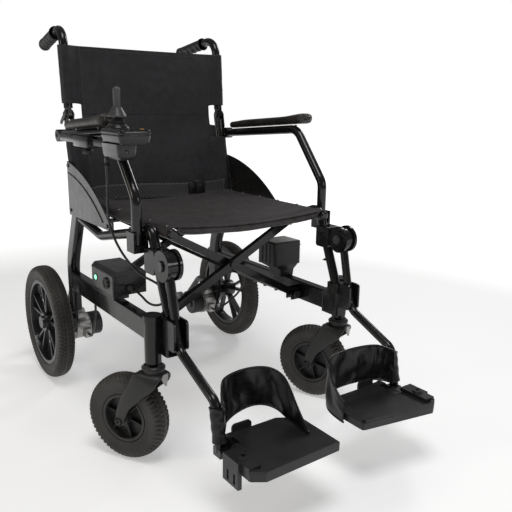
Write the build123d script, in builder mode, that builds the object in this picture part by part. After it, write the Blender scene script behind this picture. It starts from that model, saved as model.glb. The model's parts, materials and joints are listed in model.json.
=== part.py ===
from build123d import *
import os
from math import atan2, cos, degrees, radians, sin, sqrt

# Folding power wheelchair. The floor is z = 0, the chair faces -Y and the user's
# right hand is towards -X. Every side part is built for one side by its sign s:
# -1 is the user's right and +1 the user's left. Lengths are in millimetres.
os.makedirs("parts", exist_ok=True)
SIDES = {"right": -1, "left": 1}

# ---- driving dimensions
AXLE_Y, AXLE_Z = 334.0, 152.5        # rear axle
REAR_R, REAR_W, REAR_X = 152.5, 45.0, 290.0
STEM_X, STEM_Y = 254.0, -223.0       # caster stem
CASTER_R, CASTER_W, TRAIL = 93.0, 50.0, 65.0
SWIVEL = {"right": 29.4, "left": 22.1}
TUBE = 11.0                          # radius of the frame's round tubes
FRAME_X = 224.0                      # centre plane of a side frame's tubes
RAIL_IN, RAIL_OUT = 215.0, 240.0     # lower rail, across
RAIL_LOW, RAIL_TOP = 247.0, 294.0
RAIL_FRONT, RAIL_REAR = -206.0, 279.7
BACK_X = 221.0                       # back cane
HINGE_Y, HINGE_Z = 281.0, 700.0      # fold of the backrest
CANE_BEND = (298.0, 912.0)
GRIP_X, GRIP_END = 208.0, (476.0, 882.0)
LOWER_X, LOWER_Z = 200.0, 265.0      # lower pivot of a cross tube
SEAT_X, SEAT_Z = 201.0, 480.0        # seat rail
SEAT_R = 11.0
SEAT_FRONT, SEAT_REAR = -217.0, 218.0
CROSS_Y = (-116.0, 184.0)            # front and rear pair of cross tubes
CROSS_OFF, CROSS_W = 9.0, 14.0      # each tube's offset from its pair's plane, and width
CROSS_H = 18.0
ARM_X = 247.0                        # armrest tube
ARM_Y, ARM_Z = 272.0, 650.0          # armrest pivot
DISC_Y, DISC_Z = -250.0, 428.0       # leg rest pivot
LEG_X = 230.0
POST_TOP = (-420.0, 211.0)
POST_FOOT = (-437.0, 122.0)
FLIP_X, FLIP_Z = 207.0, 124.0        # footplate hinge
ROLLER_Y, ROLLER_Z, ROLLER_R = 523.0, 78.0, 23.0
STICK = (-262.0, -108.0, 690.0)      # joystick's tilt centre
BUTTON_Y, BUTTON_Z = 78.0, 331.0     # power button on the controller
PORT_Y = 16.0                        # charging port
PIN = 0.05                           # radial running clearance
ENDS = 26.0                          # radius of the leg rest's pivot disc

# cable centre lines
JOYSTICK_ROUTE = [(-281, -92, 607), (-281, -89, 560), (-279, -80, 518), (-274, -78, 478),
                  (-264, -90, 440), (-252, -115, 408), (-240, -148, 386), (-224, -178, 377),
                  (-205, -190, 360), (-198, -178, 332), (-200, -146, 312), (-203, -105, 305),
                  (-206, -70, 318), (-207, -40, 322), (-207, -22.1, 322)]
MOTOR_ROUTE = [(-199, 281.9, 113), (-199, 262, 113), (-210, 215, 146), (-222, 172, 188),
               (-226, 152, 222), (-226, 152, 246.9)]

CROSS_Z = LOWER_Z + (SEAT_Z - LOWER_Z) * LOWER_X / (LOWER_X + SEAT_X)   # crossing bolt

# the upright's two straight lines, as (y, z)
UP_FOOT = (302.0, 186.0)
UP_KNEE = (302.0, 320.0)
UP_WAIST = (236.0, 470.0)
CANE_DY = (HINGE_Y - UP_WAIST[0]) / (HINGE_Z - UP_WAIST[1])
CANE_RAKE = 0.0668                   # slope of the folding top half


def cane_y(z):
    """The y of the back cane's centre line at a height."""
    return UP_WAIST[0] + (z - UP_WAIST[1]) * CANE_DY


def path_of(points, bends):
    """Straight runs joined by tangent arcs, as one wire."""
    with BuildLine() as line:
        if len(points) == 2:
            Line(points[0], points[1])
        else:
            FilletPolyline(*points, radius=bends)
    return line.wires()[0]


def bar(points, bends, radius):
    """Sweep a round bar along a bent path, inside the caller's part."""
    wire = path_of(points, bends)
    with BuildSketch(Plane(origin=wire @ 0, z_dir=wire % 0)) as section:
        Circle(radius)
    sweep(section.sketch, path=wire)


def disc_x(s, y, z, radius, x_in, x_out, mode=Mode.ADD):
    """A round plate or hole along X between two distances from the centre line."""
    with BuildSketch(Plane.YZ.offset(s * x_in)) as section:
        with Locations((y, z)):
            Circle(radius)
    extrude(section.sketch, amount=s * (x_out - x_in), mode=mode)


def disc_y(x, z, radius, y_front, y_rear, mode=Mode.ADD):
    """A round plate or hole along Y."""
    with BuildSketch(Plane.XZ.offset(-y_rear)) as section:
        with Locations((x, z)):
            Circle(radius)
    extrude(section.sketch, amount=y_rear - y_front, mode=mode)


def block(x, y, z, mode=Mode.ADD):
    """A box between pairs of limits, whichever way round they are given."""
    centre = ((x[0] + x[1]) / 2, (y[0] + y[1]) / 2, (z[0] + z[1]) / 2)
    with Locations(centre):
        Box(abs(x[1] - x[0]), abs(y[1] - y[0]), abs(z[1] - z[0]), mode=mode)


def save(shape, name):
    """Write one node."""
    shape.label = name
    export_step(shape, f"parts/{name}.step")


def save_group(shapes, name):
    """Write several loose solids as one node."""
    save(Compound(label=name, children=list(shapes)), name)


# ---- side frame
def rear_upright(s):
    """Oval tube from the axle plate to the waist, round cane above it, fold cheeks on top."""
    depth, width = 44.0, 24.0
    x = s * FRAME_X
    cane_top = 684.0
    with BuildPart() as part:
        wire = path_of([(x, *UP_FOOT), (x, *UP_KNEE), (x, *UP_WAIST)], 150)
        with BuildSketch(Plane(origin=wire @ 0, x_dir=(1, 0, 0), z_dir=wire % 0)):
            RectangleRounded(width, depth, 9)
        sweep(path=wire)
        bar([(s * BACK_X, cane_y(452), 452), (s * BACK_X, cane_y(cane_top), cane_top)], None, 12)
        # axle plate
        with BuildSketch(Plane.YZ.offset(s * 224)):
            with BuildLine():
                Polyline((283, 250), (321, 250), (352, 182), (364, 150), (346, 118), (310, 112),
                         (288, 150), close=True)
            make_face()
            fillet(vertices(), 9)
        extrude(amount=s * 8)
        disc_x(s, AXLE_Y, AXLE_Z, 8 + PIN, 220, 236, Mode.SUBTRACT)
        # cheeks of the backrest's hinge
        reach = 30.0
        for low, high in ((213.2, 216.4), (227.6, 230.8)):
            with BuildSketch(Plane.YZ.offset(s * low)):
                with Locations((HINGE_Y - CANE_DY * reach / 2, HINGE_Z - reach / 2)):
                    SlotCenterToCenter(reach, 26, rotation=degrees(atan2(1, CANE_DY)))
            extrude(amount=s * (high - low))
        disc_x(s, HINGE_Y, HINGE_Z, 4 + PIN, 210, 234, Mode.SUBTRACT)
        # boss of the armrest's pivot
        disc_x(s, cane_y(ARM_Z), ARM_Z, 10, BACK_X, 235.4)
    return part.part


def lower_rail(s):
    """Rectangular tube with lugs for the cross tubes' lower pivots."""
    wall = 2.0
    pivot_off = -CROSS_OFF if s < 0 else CROSS_OFF
    with BuildPart() as part:
        block((s * RAIL_IN, s * RAIL_OUT), (RAIL_FRONT, RAIL_REAR), (RAIL_LOW, RAIL_TOP))
        fillet(part.edges().filter_by(Axis.Y), 3.5)
        offset(amount=-wall, mode=Mode.SUBTRACT)
        for y in CROSS_Y:
            for side in (-1, 1):
                inner = y + pivot_off + side * (CROSS_W / 2 + 0.5)
                outer = inner + side * 4
                block((s * 188, s * (RAIL_IN + 1)), (inner, outer), (250, 280))
            disc_y(s * LOWER_X, LOWER_Z, 5 + PIN, y - 40, y + 40, Mode.SUBTRACT)
    return part.part


def front_bar(s, radius):
    """The front down tube's bent bar, turned back into the side frame's top rail."""
    x = s * FRAME_X
    bar([(x, -239, 262), (x, -239, 318), (x, -168, 492), (x, -91, 464), (x, 94, 424),
         (x, 250, 450)], [90, 26, 60, 60], radius)


def front_tube(s):
    """Front down tube, top rail, seat saddles and the armrest's socket."""
    face_y, face_z = 221.0, 447.0
    with BuildPart() as part:
        front_bar(s, TUBE)
        split(bisect_by=Plane(origin=(0, face_y - 1, face_z), z_dir=(0, 0.939, 0.344)),
              keep=Keep.BOTTOM)
        # saddles that the seat rail rests on
        for y in (-60.0, 60.0):
            z_top = SEAT_Z - SEAT_R - 0.6
            block((s * 195, s * 218), (y - 14, y + 14), (z_top - 5, z_top))
            block((s * 213.4, s * 218), (y - 14, y + 14), (z_top - 34, z_top))
        # open socket under the armrest's front post
        block((s * 231, s * 235.4), (-168, -134), (438, 480))
        block((s * 258.6, s * 263), (-168, -134), (438, 480))
        block((s * 231, s * 263), (-168, -134), (438, 451.4))
    return part.part


def caster_housing(s):
    """Rail end bracket with the caster's bearing tube and the leg rest's latch jaws."""
    with BuildPart() as tube:
        front_bar(s, TUBE + PIN)
    with BuildPart() as part:
        block((s * 209.5, s * 243), (-262, RAIL_FRONT - 0.1), (243, 300))
        fillet(part.edges().filter_by(Axis.Z), 5)
        block((s * 209.5, s * 243), (-262, -226), (299, 322))
        with Locations((s * STEM_X, STEM_Y, 275)):
            Cylinder(17, 100)
        with Locations((s * STEM_X, STEM_Y, 319)):
            Cylinder(19, 12)
        for low, high in ((213.5, 218.5), (241.5, 246.5)):
            with BuildSketch(Plane.YZ.offset(s * low)):
                with Locations((-276, 296)):
                    RectangleRounded(44, 60, 8)
            extrude(amount=s * (high - low))
        add(tube.part, mode=Mode.SUBTRACT)
        with Locations((s * STEM_X, STEM_Y, 225)):
            Cylinder(8 + PIN, 90, align=(Align.CENTER, Align.CENTER, Align.MIN),
                     mode=Mode.SUBTRACT)
    return part.part


def hanger_pivot(s):
    """Clamp on the front tube with two round cheeks that hold the leg rest's disc."""
    with BuildPart() as tube:
        front_bar(s, TUBE + PIN)
    with BuildPart() as part:
        block((s * 209.5, s * 246.5), (-221, -178), (402, 452))
        fillet(part.edges().filter_by(Axis.X), 7)
        for low, high in ((213.5, 220.0), (240.0, 246.5)):
            disc_x(s, DISC_Y, DISC_Z, 31, low, high)
        disc_x(s, DISC_Y, DISC_Z, 6 + PIN, 205, 255, Mode.SUBTRACT)
        add(tube.part, mode=Mode.SUBTRACT)
    return part.part


def side_guard(s):
    """Curved plastic panel beside the seat, with a raised rib."""
    inner, thick = 237.6, 3.4
    with BuildPart() as part:
        with BuildSketch(Plane.YZ.offset(s * inner)):
            with BuildLine():
                top = Line((262, 452), (262, 588))
                arc = TangentArc(top @ 1, (8, 470), tangent=(-1, -0.12))
                Polyline(arc @ 1, (8, 452), (262, 452))
            make_face()
        extrude(amount=s * thick)
        with BuildSketch(Plane.YZ.offset(s * (inner + thick))):
            with BuildLine():
                high = TangentArc((255, 560), (40, 466), tangent=(-1, -0.12))
                low = TangentArc((255, 552), (50, 466), tangent=(-1, -0.12))
                Line(high @ 0, low @ 0)
                Line(high @ 1, low @ 1)
            make_face()
        extrude(amount=s * 2)
    return part.part


# ---- backrest and push handles
def upper_cane(s):
    """Folding top half of a back cane, bent to the rear for the push grip."""
    start = 716.0
    x = s * BACK_X
    with BuildPart() as part:
        bar([(x, cane_y(start), start), (x, *CANE_BEND), (s * GRIP_X, *GRIP_END)], 40, TUBE)
        # hinge tongue
        with BuildSketch(Plane.YZ.offset(s * 216.9)):
            with Locations((HINGE_Y + CANE_DY * 10, HINGE_Z + 10)):
                SlotCenterToCenter(20, 22, rotation=degrees(atan2(1, CANE_DY)))
        extrude(amount=s * 10.2)
        disc_x(s, HINGE_Y, HINGE_Z, 4 + PIN, 210, 234, Mode.SUBTRACT)
    return part.part


def push_grip(s):
    """Hand grip with finger grooves, closed at its end."""
    a = Vector(s * BACK_X, *CANE_BEND)
    b = Vector(s * GRIP_X, *GRIP_END)
    along = (b - a).normalized()
    start = a + along * 62
    bore = (b - start).length + PIN
    with BuildPart() as part:
        with BuildSketch(Plane(origin=start, x_dir=(0, -along.Z, along.Y), z_dir=along)):
            Circle(17)
        extrude(amount=6)
        with BuildSketch(Plane(origin=start, x_dir=(0, -along.Z, along.Y), z_dir=along)):
            Circle(14.4)
        extrude(amount=bore + 8)
        fillet(part.edges().sort_by(Axis.Y)[-1], 6)
        for k in range(5):
            with BuildSketch(Plane(origin=start + along * (22 + 21 * k),
                                   x_dir=(0, -along.Z, along.Y), z_dir=along)):
                Circle(16.2)
            extrude(amount=10)
        with BuildSketch(Plane(origin=start, x_dir=(0, -along.Z, along.Y), z_dir=along)):
            Circle(TUBE + PIN)
        extrude(amount=bore, mode=Mode.SUBTRACT)
    return part.part


def back_panel(z_low, z_high, fold_z, y_low, slope):
    """One half of the back sling: a thin sheet with a sleeve round each cane.

    Between the canes the sheet runs on to fold_z, where it meets the other half."""
    tilt = Plane(origin=(0, y_low, z_low), x_dir=(1, 0, 0), z_dir=(0, slope, 1))
    stretch = sqrt(1 + slope * slope)
    sheet_low, sheet_high = min(z_low, fold_z) - z_low, max(z_high, fold_z) - z_low
    with BuildPart() as part:
        with BuildSketch(tilt):
            with Locations((0, -12)):
                Rectangle(2 * BACK_X, 3)
            with Locations((-BACK_X, 0), (BACK_X, 0)):
                Circle(15.4)
            with Locations((-BACK_X, 0), (BACK_X, 0)):
                Circle(12.9, mode=Mode.SUBTRACT)
        extrude(amount=(z_high - z_low) * stretch)
        with BuildSketch(tilt.offset(sheet_low * stretch)):
            with Locations((0, -12)):
                Rectangle(2 * BACK_X - 52, 3)
        extrude(amount=(sheet_high - sheet_low) * stretch)
    return part.part


# ---- armrests
def armrest_top(y):
    """Height of the armrest tube's centre at a distance along it."""
    return ARM_Z + (ARM_Y - y) * 23 / 320


def armrest_tube(s):
    """Tube from its pivot eye forward, down and into the front socket."""
    x = s * ARM_X
    with BuildPart() as part:
        bar([(x, ARM_Y - 11, armrest_top(ARM_Y - 11)), (x, -48, armrest_top(-48)),
             (x, -151, 548), (x, -151, 452)], [45, 40], TUBE)
        disc_x(s, cane_y(ARM_Z), ARM_Z, 15, 236, 258)
        disc_x(s, cane_y(ARM_Z), ARM_Z, 5 + PIN, 230, 262, Mode.SUBTRACT)
    return part.part


def armrest_pad(s):
    """Padded top that rests on the tube."""
    front, rear = (-62.0, 165.0) if s < 0 else (-75.0, 257.0)
    width, thick = 46.0, 22.0
    slope = 23 / 320
    length = (rear - front) * sqrt(1 + slope * slope)
    base = Plane(origin=(s * (236 + width / 2), rear, armrest_top(rear) + TUBE + 0.8),
                 x_dir=(0, -1, slope), z_dir=(0, slope, 1))
    with BuildPart() as part:
        with BuildSketch(base):
            with Locations((length / 2, 0)):
                RectangleRounded(length, width, 14)
        extrude(amount=thick)
        fillet(part.faces().sort_by(Axis.Z)[-1].edges(), 7)
    return part.part


# ---- leg rests
def hanger_tube(s):
    """Leg rest tube with its pivot disc above and the footplate's hinge pin below."""
    x = s * LEG_X
    with BuildPart() as part:
        bar([(x, DISC_Y - 4, DISC_Z - 17.8), (x, -286, 268), (x, *POST_TOP), (x, *POST_FOOT)],
            [40, 24], 9.5)
        disc_x(s, DISC_Y, DISC_Z, ENDS, 221, 239)
        disc_x(s, DISC_Y, DISC_Z, 6 + PIN, 215, 245, Mode.SUBTRACT)
        # knuckle and pin of the footplate's hinge
        disc_y(s * FLIP_X, FLIP_Z, 11, -449, -425)
        block((s * FLIP_X, s * (LEG_X + 8)), (-449, -425), (FLIP_Z - 11, FLIP_Z + 6))
        disc_y(s * FLIP_X, FLIP_Z, 4, -478, -408)
    return part.part


def footplate(s):
    """Moulded footplate with a raised front lip, hinge knuckles and a heel tab."""
    inner, outer = 42.0, 238.0
    front, rear = -557.0, -411.0
    cut = 4.0 if s < 0 else 30.0
    top = 133.0
    with BuildPart() as part:
        with BuildSketch(Plane.XY.offset(118)):
            with BuildLine():
                Polyline((s * inner, rear - 26), (s * inner, front + cut), (s * (outer - 24), front),
                         (s * outer, front + 16), (s * outer, -458), (s * 196, -458),
                         (s * 196, rear), (s * 84, rear), close=True)
            make_face()
            fillet(vertices(), 6)
        extrude(amount=top - 118)
        # raised lip
        with BuildSketch(Plane.XY.offset(top - 1)):
            with BuildLine():
                Polyline((s * (inner + 6), front + cut), (s * (outer - 24), front),
                         (s * (outer - 1), front + 16), (s * (outer - 1), front + 26),
                         (s * (outer - 24), front + 9), (s * (inner + 6), front + cut + 9),
                         close=True)
            make_face()
        extrude(amount=5)
        # upright heel tab behind, and the round boss beside the hinge
        with BuildSketch(Plane.XZ.offset(-rear - 4)):
            with Locations((s * 165, top + 4)):
                RectangleRounded(44, 22, 8)
        extrude(amount=4.5)
        block((s * 213, s * outer), (-538, -468), (top - 1, top + 8))
        with Locations((s * 226, -503, top + 7)):
            Cylinder(10, 6, align=(Align.CENTER, Align.CENTER, Align.MIN))
        with Locations((s * 226, -503, top + 3)):
            Cylinder(5, 12, align=(Align.CENTER, Align.CENTER, Align.MIN), mode=Mode.SUBTRACT)
        # slotted bracket on the outer side
        block((s * (outer - 1), s * (outer + 7)), (-516, -468), (90, top + 8))
        for y in (-504, -484):
            block((s * (outer - 3), s * (outer + 8)), (y - 3, y + 3), (96, 116), Mode.SUBTRACT)
        for y_front, y_rear in ((-478, -450), (-424, -409)):
            disc_y(s * FLIP_X, FLIP_Z, 12, y_front, y_rear)
            block((s * 185, s * FLIP_X), (y_front, y_rear), (118, FLIP_Z + 10))
        # clear the hanger's knuckle between them
        block((s * 194.5, s * 222), (-450, -424), (100, 150), Mode.SUBTRACT)
        disc_y(s * FLIP_X, FLIP_Z, 4 + PIN, -490, -400, Mode.SUBTRACT)
    return part.part


def heel_loop(s):
    """Webbing loop: a sleeve on the post and a tall band round behind the heels."""
    low, sleeve_top, band_top = 139.0, 197.0, 222.0
    post = -430.0
    with BuildPart() as part:
        with BuildSketch(Plane.XY.offset(low)):
            with Locations((s * LEG_X, post)):
                Ellipse(13.8, 23.6)
            Polygon((s * (LEG_X - 6), post + 18), (s * 206, -410), (s * 206, -407),
                    (s * (LEG_X - 6), post + 24), align=None)
            with Locations((s * LEG_X, post)):
                Ellipse(11.6, 21, mode=Mode.SUBTRACT)
        extrude(amount=sleeve_top - low)
        with BuildSketch(Plane.XY.offset(low)):
            with BuildLine():
                outer = ThreePointArc((s * 208, -409), (s * 140, -389), (s * 70, -428))
                Line(outer @ 1, (s * 72, -431))
                inner = ThreePointArc((s * 72, -431), (s * 140, -392.4), (s * 208, -412))
                Line(inner @ 1, outer @ 0)
            make_face()
        extrude(amount=band_top - low)
    return part.part


# ---- wheels
def ring(s, x_mid, y, z, profile):
    """Revolve a half section, given as (offset along X, radius), about a wheel's axis."""
    with BuildPart() as part:
        with BuildSketch(Plane(origin=(s * x_mid, y, z), x_dir=(s, 0, 0), z_dir=(0, -s, 0))):
            Polygon(*profile, align=None)
        revolve(axis=Axis((s * x_mid, y, z), (1, 0, 0)))
    return part.part


def rear_tyre(s):
    """Air tyre with a rounded crown and four tread grooves."""
    half = REAR_W / 2
    section = [(-half + 5, 114.8), (-half, 124), (-half, 138), (-half + 6, 148)]
    for x in (-12, -4, 4, 12):
        section += [(x - 1.5, REAR_R - abs(x) * 0.12), (x - 1, REAR_R - 3), (x + 1, REAR_R - 3),
                    (x + 1.5, REAR_R - abs(x) * 0.12)]
    section += [(half - 6, 148), (half, 138), (half, 124), (half - 5, 114.8)]
    return ring(s, REAR_X, AXLE_Y, AXLE_Z, section)


def rear_rim(s):
    """Cast rim with five pairs of spokes, its hub and the drive axle."""
    with BuildPart() as part:
        add(ring(s, REAR_X, AXLE_Y, AXLE_Z,
                 [(-17, 105), (17, 105), (17, 114.6), (12, 112), (-12, 112), (-17, 114.6)]))
        disc_x(s, AXLE_Y, AXLE_Z, 25, 266, 304)
        disc_x(s, AXLE_Y, AXLE_Z, 17, 304, 311)
        disc_x(s, AXLE_Y, AXLE_Z, 13, 242, 266)
        disc_x(s, AXLE_Y, AXLE_Z, 8, 205, 242)
        for k in range(5):
            for lean in (-9, 9):
                turn = radians(90 + 72 * k)
                foot = radians(90 + 72 * k + lean * 1.2)
                y0, z0 = AXLE_Y + 20 * cos(turn), AXLE_Z + 20 * sin(turn)
                y1, z1 = AXLE_Y + 107 * cos(foot), AXLE_Z + 107 * sin(foot)
                wire = path_of([(s * 288, y0, z0), (s * 292, y1, z1)], None)
                with BuildSketch(Plane(origin=wire @ 0, x_dir=(1, 0, 0), z_dir=wire % 0)):
                    RectangleRounded(17, 7, 2)
                sweep(path=wire)
    return part.part


def drive_motor(s):
    """Cast gearbox on the axle and the motor can inboard of it."""
    y, z = AXLE_Y, 124.0
    with BuildPart() as gearbox:
        disc_x(s, y, z, 35, 188, 223.4)
        disc_x(s, AXLE_Y, AXLE_Z, 21, 192, 223.4)
        for k in range(6):
            a = radians(60 * k + 30)
            disc_x(s, y + 31 * cos(a), z + 31 * sin(a), 5.5, 186.6, 216)
        block((s * 190, s * 208), (y - 52, y - 30), (z - 22, z + 2))
        disc_x(s, AXLE_Y, AXLE_Z, 8 + PIN, 200, 230, Mode.SUBTRACT)
    with BuildPart() as can:
        disc_x(s, y, z, 32.5, 149, 186.4)
        fillet(can.edges().filter_by(GeomType.CIRCLE).sort_by(Axis.X)[0 if s > 0 else -1], 4)
        disc_x(s, y, z, 12, 145, 149)
    return [gearbox.part, can.part]


def caster_plane(name):
    """Plane at the caster's wheel centre, x along its axle and z up."""
    s = SIDES[name]
    a = radians(SWIVEL[name])
    return Plane(origin=(s * STEM_X - TRAIL * sin(a), STEM_Y + TRAIL * cos(a), CASTER_R),
                 x_dir=(cos(a), sin(a), 0), z_dir=(0, 0, 1))


def side_plane(base, x):
    """Plane square to the caster's axle, its x to the rear and its y up."""
    return Plane(origin=base.origin + base.x_dir * x, x_dir=base.y_dir, z_dir=base.x_dir)


def caster_fork(name):
    """Moulded fork: cap and stem above, two swept arms, axle bolt and reflector tab."""
    base = caster_plane(name)
    crown = 192.0 - CASTER_R
    gap = CASTER_W / 2 + 3
    with BuildPart() as part:
        for x in (-gap - 7, gap):
            with BuildSketch(side_plane(base, x)):
                with BuildLine():
                    Polyline((-14, -2), (-14, 8), (-40, 48), (-TRAIL - 24, crown - 2),
                             (-TRAIL - 24, crown + 12), (-TRAIL + 24, crown + 12),
                             (-TRAIL + 34, crown - 16), (-8, 50), (14, 8), (14, -2), (8, -13),
                             (-8, -13), close=True)
                make_face()
                fillet(vertices(), 5)
            extrude(amount=7)
        top = Plane(origin=base.origin + base.y_dir * -TRAIL + base.z_dir * crown,
                    x_dir=base.x_dir, z_dir=(0, 0, 1))
        with BuildSketch(top):
            RectangleRounded(2 * gap + 14, 48, 10)
        extrude(amount=14)
        with BuildSketch(top.offset(13)):
            Circle(23)
        extrude(amount=10)
        with BuildSketch(top.offset(23)):
            Circle(19)
        extrude(amount=6)
        with BuildSketch(top.offset(28)):
            Circle(8)
        extrude(amount=82)
        with BuildSketch(side_plane(base, -gap - 10)):
            Circle(5)
        extrude(amount=2 * gap + 20)
        for x in (-gap - 11, gap + 7):
            with BuildSketch(side_plane(base, x)):
                RegularPolygon(7.5, 6)
            extrude(amount=4)
    return part.part


def caster_tyre(name):
    """Small tyre with a flat tread."""
    half = CASTER_W / 2
    base = caster_plane(name)
    with BuildPart() as part:
        with BuildSketch(Plane(origin=base.origin, x_dir=base.x_dir, z_dir=-base.y_dir)):
            Polygon((-half + 5, 52.6), (-half, 60), (-half, 80), (-half + 5, 90), (-14, 92.6),
                    (-13, 90), (-5, 90), (-4, CASTER_R), (4, CASTER_R), (5, 90), (13, 90),
                    (14, 92.6), (half - 5, 90), (half, 80), (half, 60), (half - 5, 52.6),
                    align=None)
        revolve(axis=Axis(base.origin, base.x_dir))
    return part.part


def caster_rim(name):
    """Moulded caster wheel: rim, web of six ribs and bored hub."""
    base = caster_plane(name)
    with BuildPart() as part:
        with BuildSketch(Plane(origin=base.origin, x_dir=base.x_dir, z_dir=-base.y_dir)):
            Polygon((-20, 46), (20, 46), (20, 52.4), (-20, 52.4), align=None)
            Polygon((-3, 12), (3, 12), (3, 47), (-3, 47), align=None)
            Polygon((-25, 5 + PIN), (25, 5 + PIN), (25, 14), (-25, 14), align=None)
        revolve(axis=Axis(base.origin, base.x_dir))
        for k in range(6):
            turn = side_plane(base, -13)
            with BuildSketch(turn):
                with PolarLocations(29, 1, start_angle=60 * k + 15):
                    Rectangle(34, 3)
            extrude(amount=26)
    return part.part


def anti_tipper(s):
    """Flange on the axle plate, bent bar and the roller's arm behind the rear wheel."""
    x = s * 241.5
    with BuildPart() as part:
        bar([(x, 345, 172), (x, 432, 172), (x, 506, 96)], 45, 9)
        with BuildSketch(Plane.YZ.offset(s * 232.3)):
            with Locations((345, 178)):
                RectangleRounded(36, 26, 8)
        extrude(amount=s * 6)
        disc_x(s, AXLE_Y, AXLE_Z, 16, 225, 245, Mode.SUBTRACT)
        with BuildSketch(Plane.YZ.offset(s * 229)):
            with Locations((513, 88)):
                SlotCenterToCenter(28, 16, rotation=-45)
        extrude(amount=s * 9)
        disc_x(s, ROLLER_Y, ROLLER_Z, 4, 206, 236)
    return part.part


def anti_tip_wheel(s):
    """Small solid roller."""
    with BuildPart() as part:
        disc_x(s, ROLLER_Y, ROLLER_Z, ROLLER_R, 209, 227)
        fillet(part.edges().filter_by(GeomType.CIRCLE), 3)
        disc_x(s, ROLLER_Y, ROLLER_Z, 4 + PIN, 200, 240, Mode.SUBTRACT)
    return part.part


# ---- folding cross frames and the seat
def cross_frame(lower_side, toward):
    """Front and rear cross tube and the seat rail on them, as one weldment.

    toward is -1 for the pair in front, which carries the crossing bolts."""
    low = Vector(lower_side * LOWER_X, 0, LOWER_Z)
    high = Vector(-lower_side * SEAT_X, 0, SEAT_Z)
    run = (high - low).normalized()
    length = (high - low).length
    rise = degrees(atan2(run.Z, run.X))
    with BuildPart() as part:
        for y in CROSS_Y:
            mid = y + toward * CROSS_OFF
            plane = Plane.XZ.offset(-mid - CROSS_W / 2)
            with BuildSketch(plane):
                with Locations(Location((low.X, low.Z, 0), (0, 0, rise))):
                    with Locations((length / 2 - 7, 0)):
                        SlotCenterToCenter(length - 14, CROSS_H)
            extrude(amount=CROSS_W)
            disc_y(low.X, low.Z, 5 + PIN, mid - 20, mid + 20, Mode.SUBTRACT)
            if toward > 0:
                disc_y(0, CROSS_Z, 5 + PIN, mid - 20, mid + 20, Mode.SUBTRACT)
            else:
                disc_y(0, CROSS_Z, 5, mid, y + 22)
                disc_y(0, CROSS_Z, 8, mid - CROSS_W / 2 - 4, mid)
                disc_y(0, CROSS_Z, 8, y + 18, y + 23)
        with BuildSketch(Plane.XZ.offset(-SEAT_REAR)):
            with Locations((high.X, high.Z)):
                Circle(SEAT_R)
        extrude(amount=SEAT_REAR - SEAT_FRONT)
        rings = part.edges().filter_by(GeomType.CIRCLE).filter_by(
            lambda edge: abs(edge.arc_center.X - high.X) < 0.5)
        rings = rings.sort_by(Axis.Y)
        fillet([rings[0], rings[-1]], 5)
    return part.part


def seat_sling():
    """Nylon seat between the two seat rails."""
    with BuildPart() as part:
        block((-SEAT_X - 9, SEAT_X + 9), (SEAT_FRONT + 2, 214), (SEAT_Z + SEAT_R + 0.4,
                                                                 SEAT_Z + SEAT_R + 8.4))
        fillet(part.edges().filter_by(Axis.Z), 8)
    return part.part


# ---- controls, battery and straps
def joystick_housing():
    """Control box in front of the armrest pad, its under-box, slide bar and collar."""
    x, y, z = STICK
    with BuildPart() as part:
        block((-290, -221), (-180, -80), (653, 683))
        fillet(part.edges().filter_by(Axis.Z), 6)
        fillet(part.faces().sort_by(Axis.Z)[-1].edges(), 3)
        block((-289, -259), (-168, -82), (624, 653.5))
        block((-277, -263), (-82, 197), (643, 657))
        block((-286, -258.6), (0, 84), (637, 661))
        with Locations((x, y, 682.5)):
            Cylinder(17, 14.5, align=(Align.CENTER, Align.CENTER, Align.MIN))
        with Locations((x, y, 683)):
            Cylinder(12.4, 20, align=(Align.CENTER, Align.CENTER, Align.MIN), mode=Mode.SUBTRACT)
        with BuildSketch(Plane.YZ.offset(x - 20)):
            with Locations((y, z)):
                Circle(1.5 + PIN)
        extrude(amount=40, mode=Mode.SUBTRACT)
        # gland of the cable
        with Locations((-281, -92, 616)):
            Cylinder(4.5, 17)
    return part.part


def joystick_yoke():
    """Gimbal ring that tilts forward and back on its trunnions."""
    x, y, z = STICK
    with BuildPart() as part:
        with Locations((x, y, z)):
            Cylinder(10.4, 5)
        with BuildSketch(Plane.YZ.offset(x - 14)):
            with Locations((y, z)):
                Circle(1.5)
        extrude(amount=28)
        with Locations((x, y, z)):
            Cylinder(7, 8, mode=Mode.SUBTRACT)
        disc_y(x, z, 1.5 + PIN, y - 14, y + 14, Mode.SUBTRACT)
    return part.part


def joystick_stick():
    """Knob, stem and skirt of the joystick on a cross pin."""
    x, y, z = STICK
    with BuildPart() as part:
        with BuildSketch(Plane(origin=(x, y, z), x_dir=(1, 0, 0), z_dir=(0, -1, 0))):
            with BuildLine():
                Polyline((0, -4), (3.5, -4), (3.5, 15), (18, 15), (18.4, 17.5), (10, 33), (7, 35),
                         (7.4, 58), (7.6, 66))
                CenterArc((0, 66), 7.6, 0, 90)
                Line((0, 73.6), (0, -4))
            make_face()
        revolve(axis=Axis((x, y, z), (0, 0, 1)))
        disc_y(x, z, 1.5, y - 10, y + 10)
    return part.part


def controller_box():
    """Electronics box on the right rail with chamfered lid, sockets and its foot."""
    with BuildPart() as part:
        block((-250, -167), (-22, 105), (307, 363))
        chamfer(part.edges().filter_by(Axis.Y).sort_by(Axis.Z)[-2:], 9)
        fillet(part.edges().filter_by(Axis.Z), 4)
        block((-243, -205), (-6, 84), (RAIL_TOP + 0.1, 308))
        disc_x(-1, BUTTON_Y, BUTTON_Z, 6.2, 244, 252, Mode.SUBTRACT)
        disc_x(-1, PORT_Y, BUTTON_Z, 14, 249, 253)
        disc_x(-1, PORT_Y, BUTTON_Z, 10, 246, 254, Mode.SUBTRACT)
    return part.part


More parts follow.
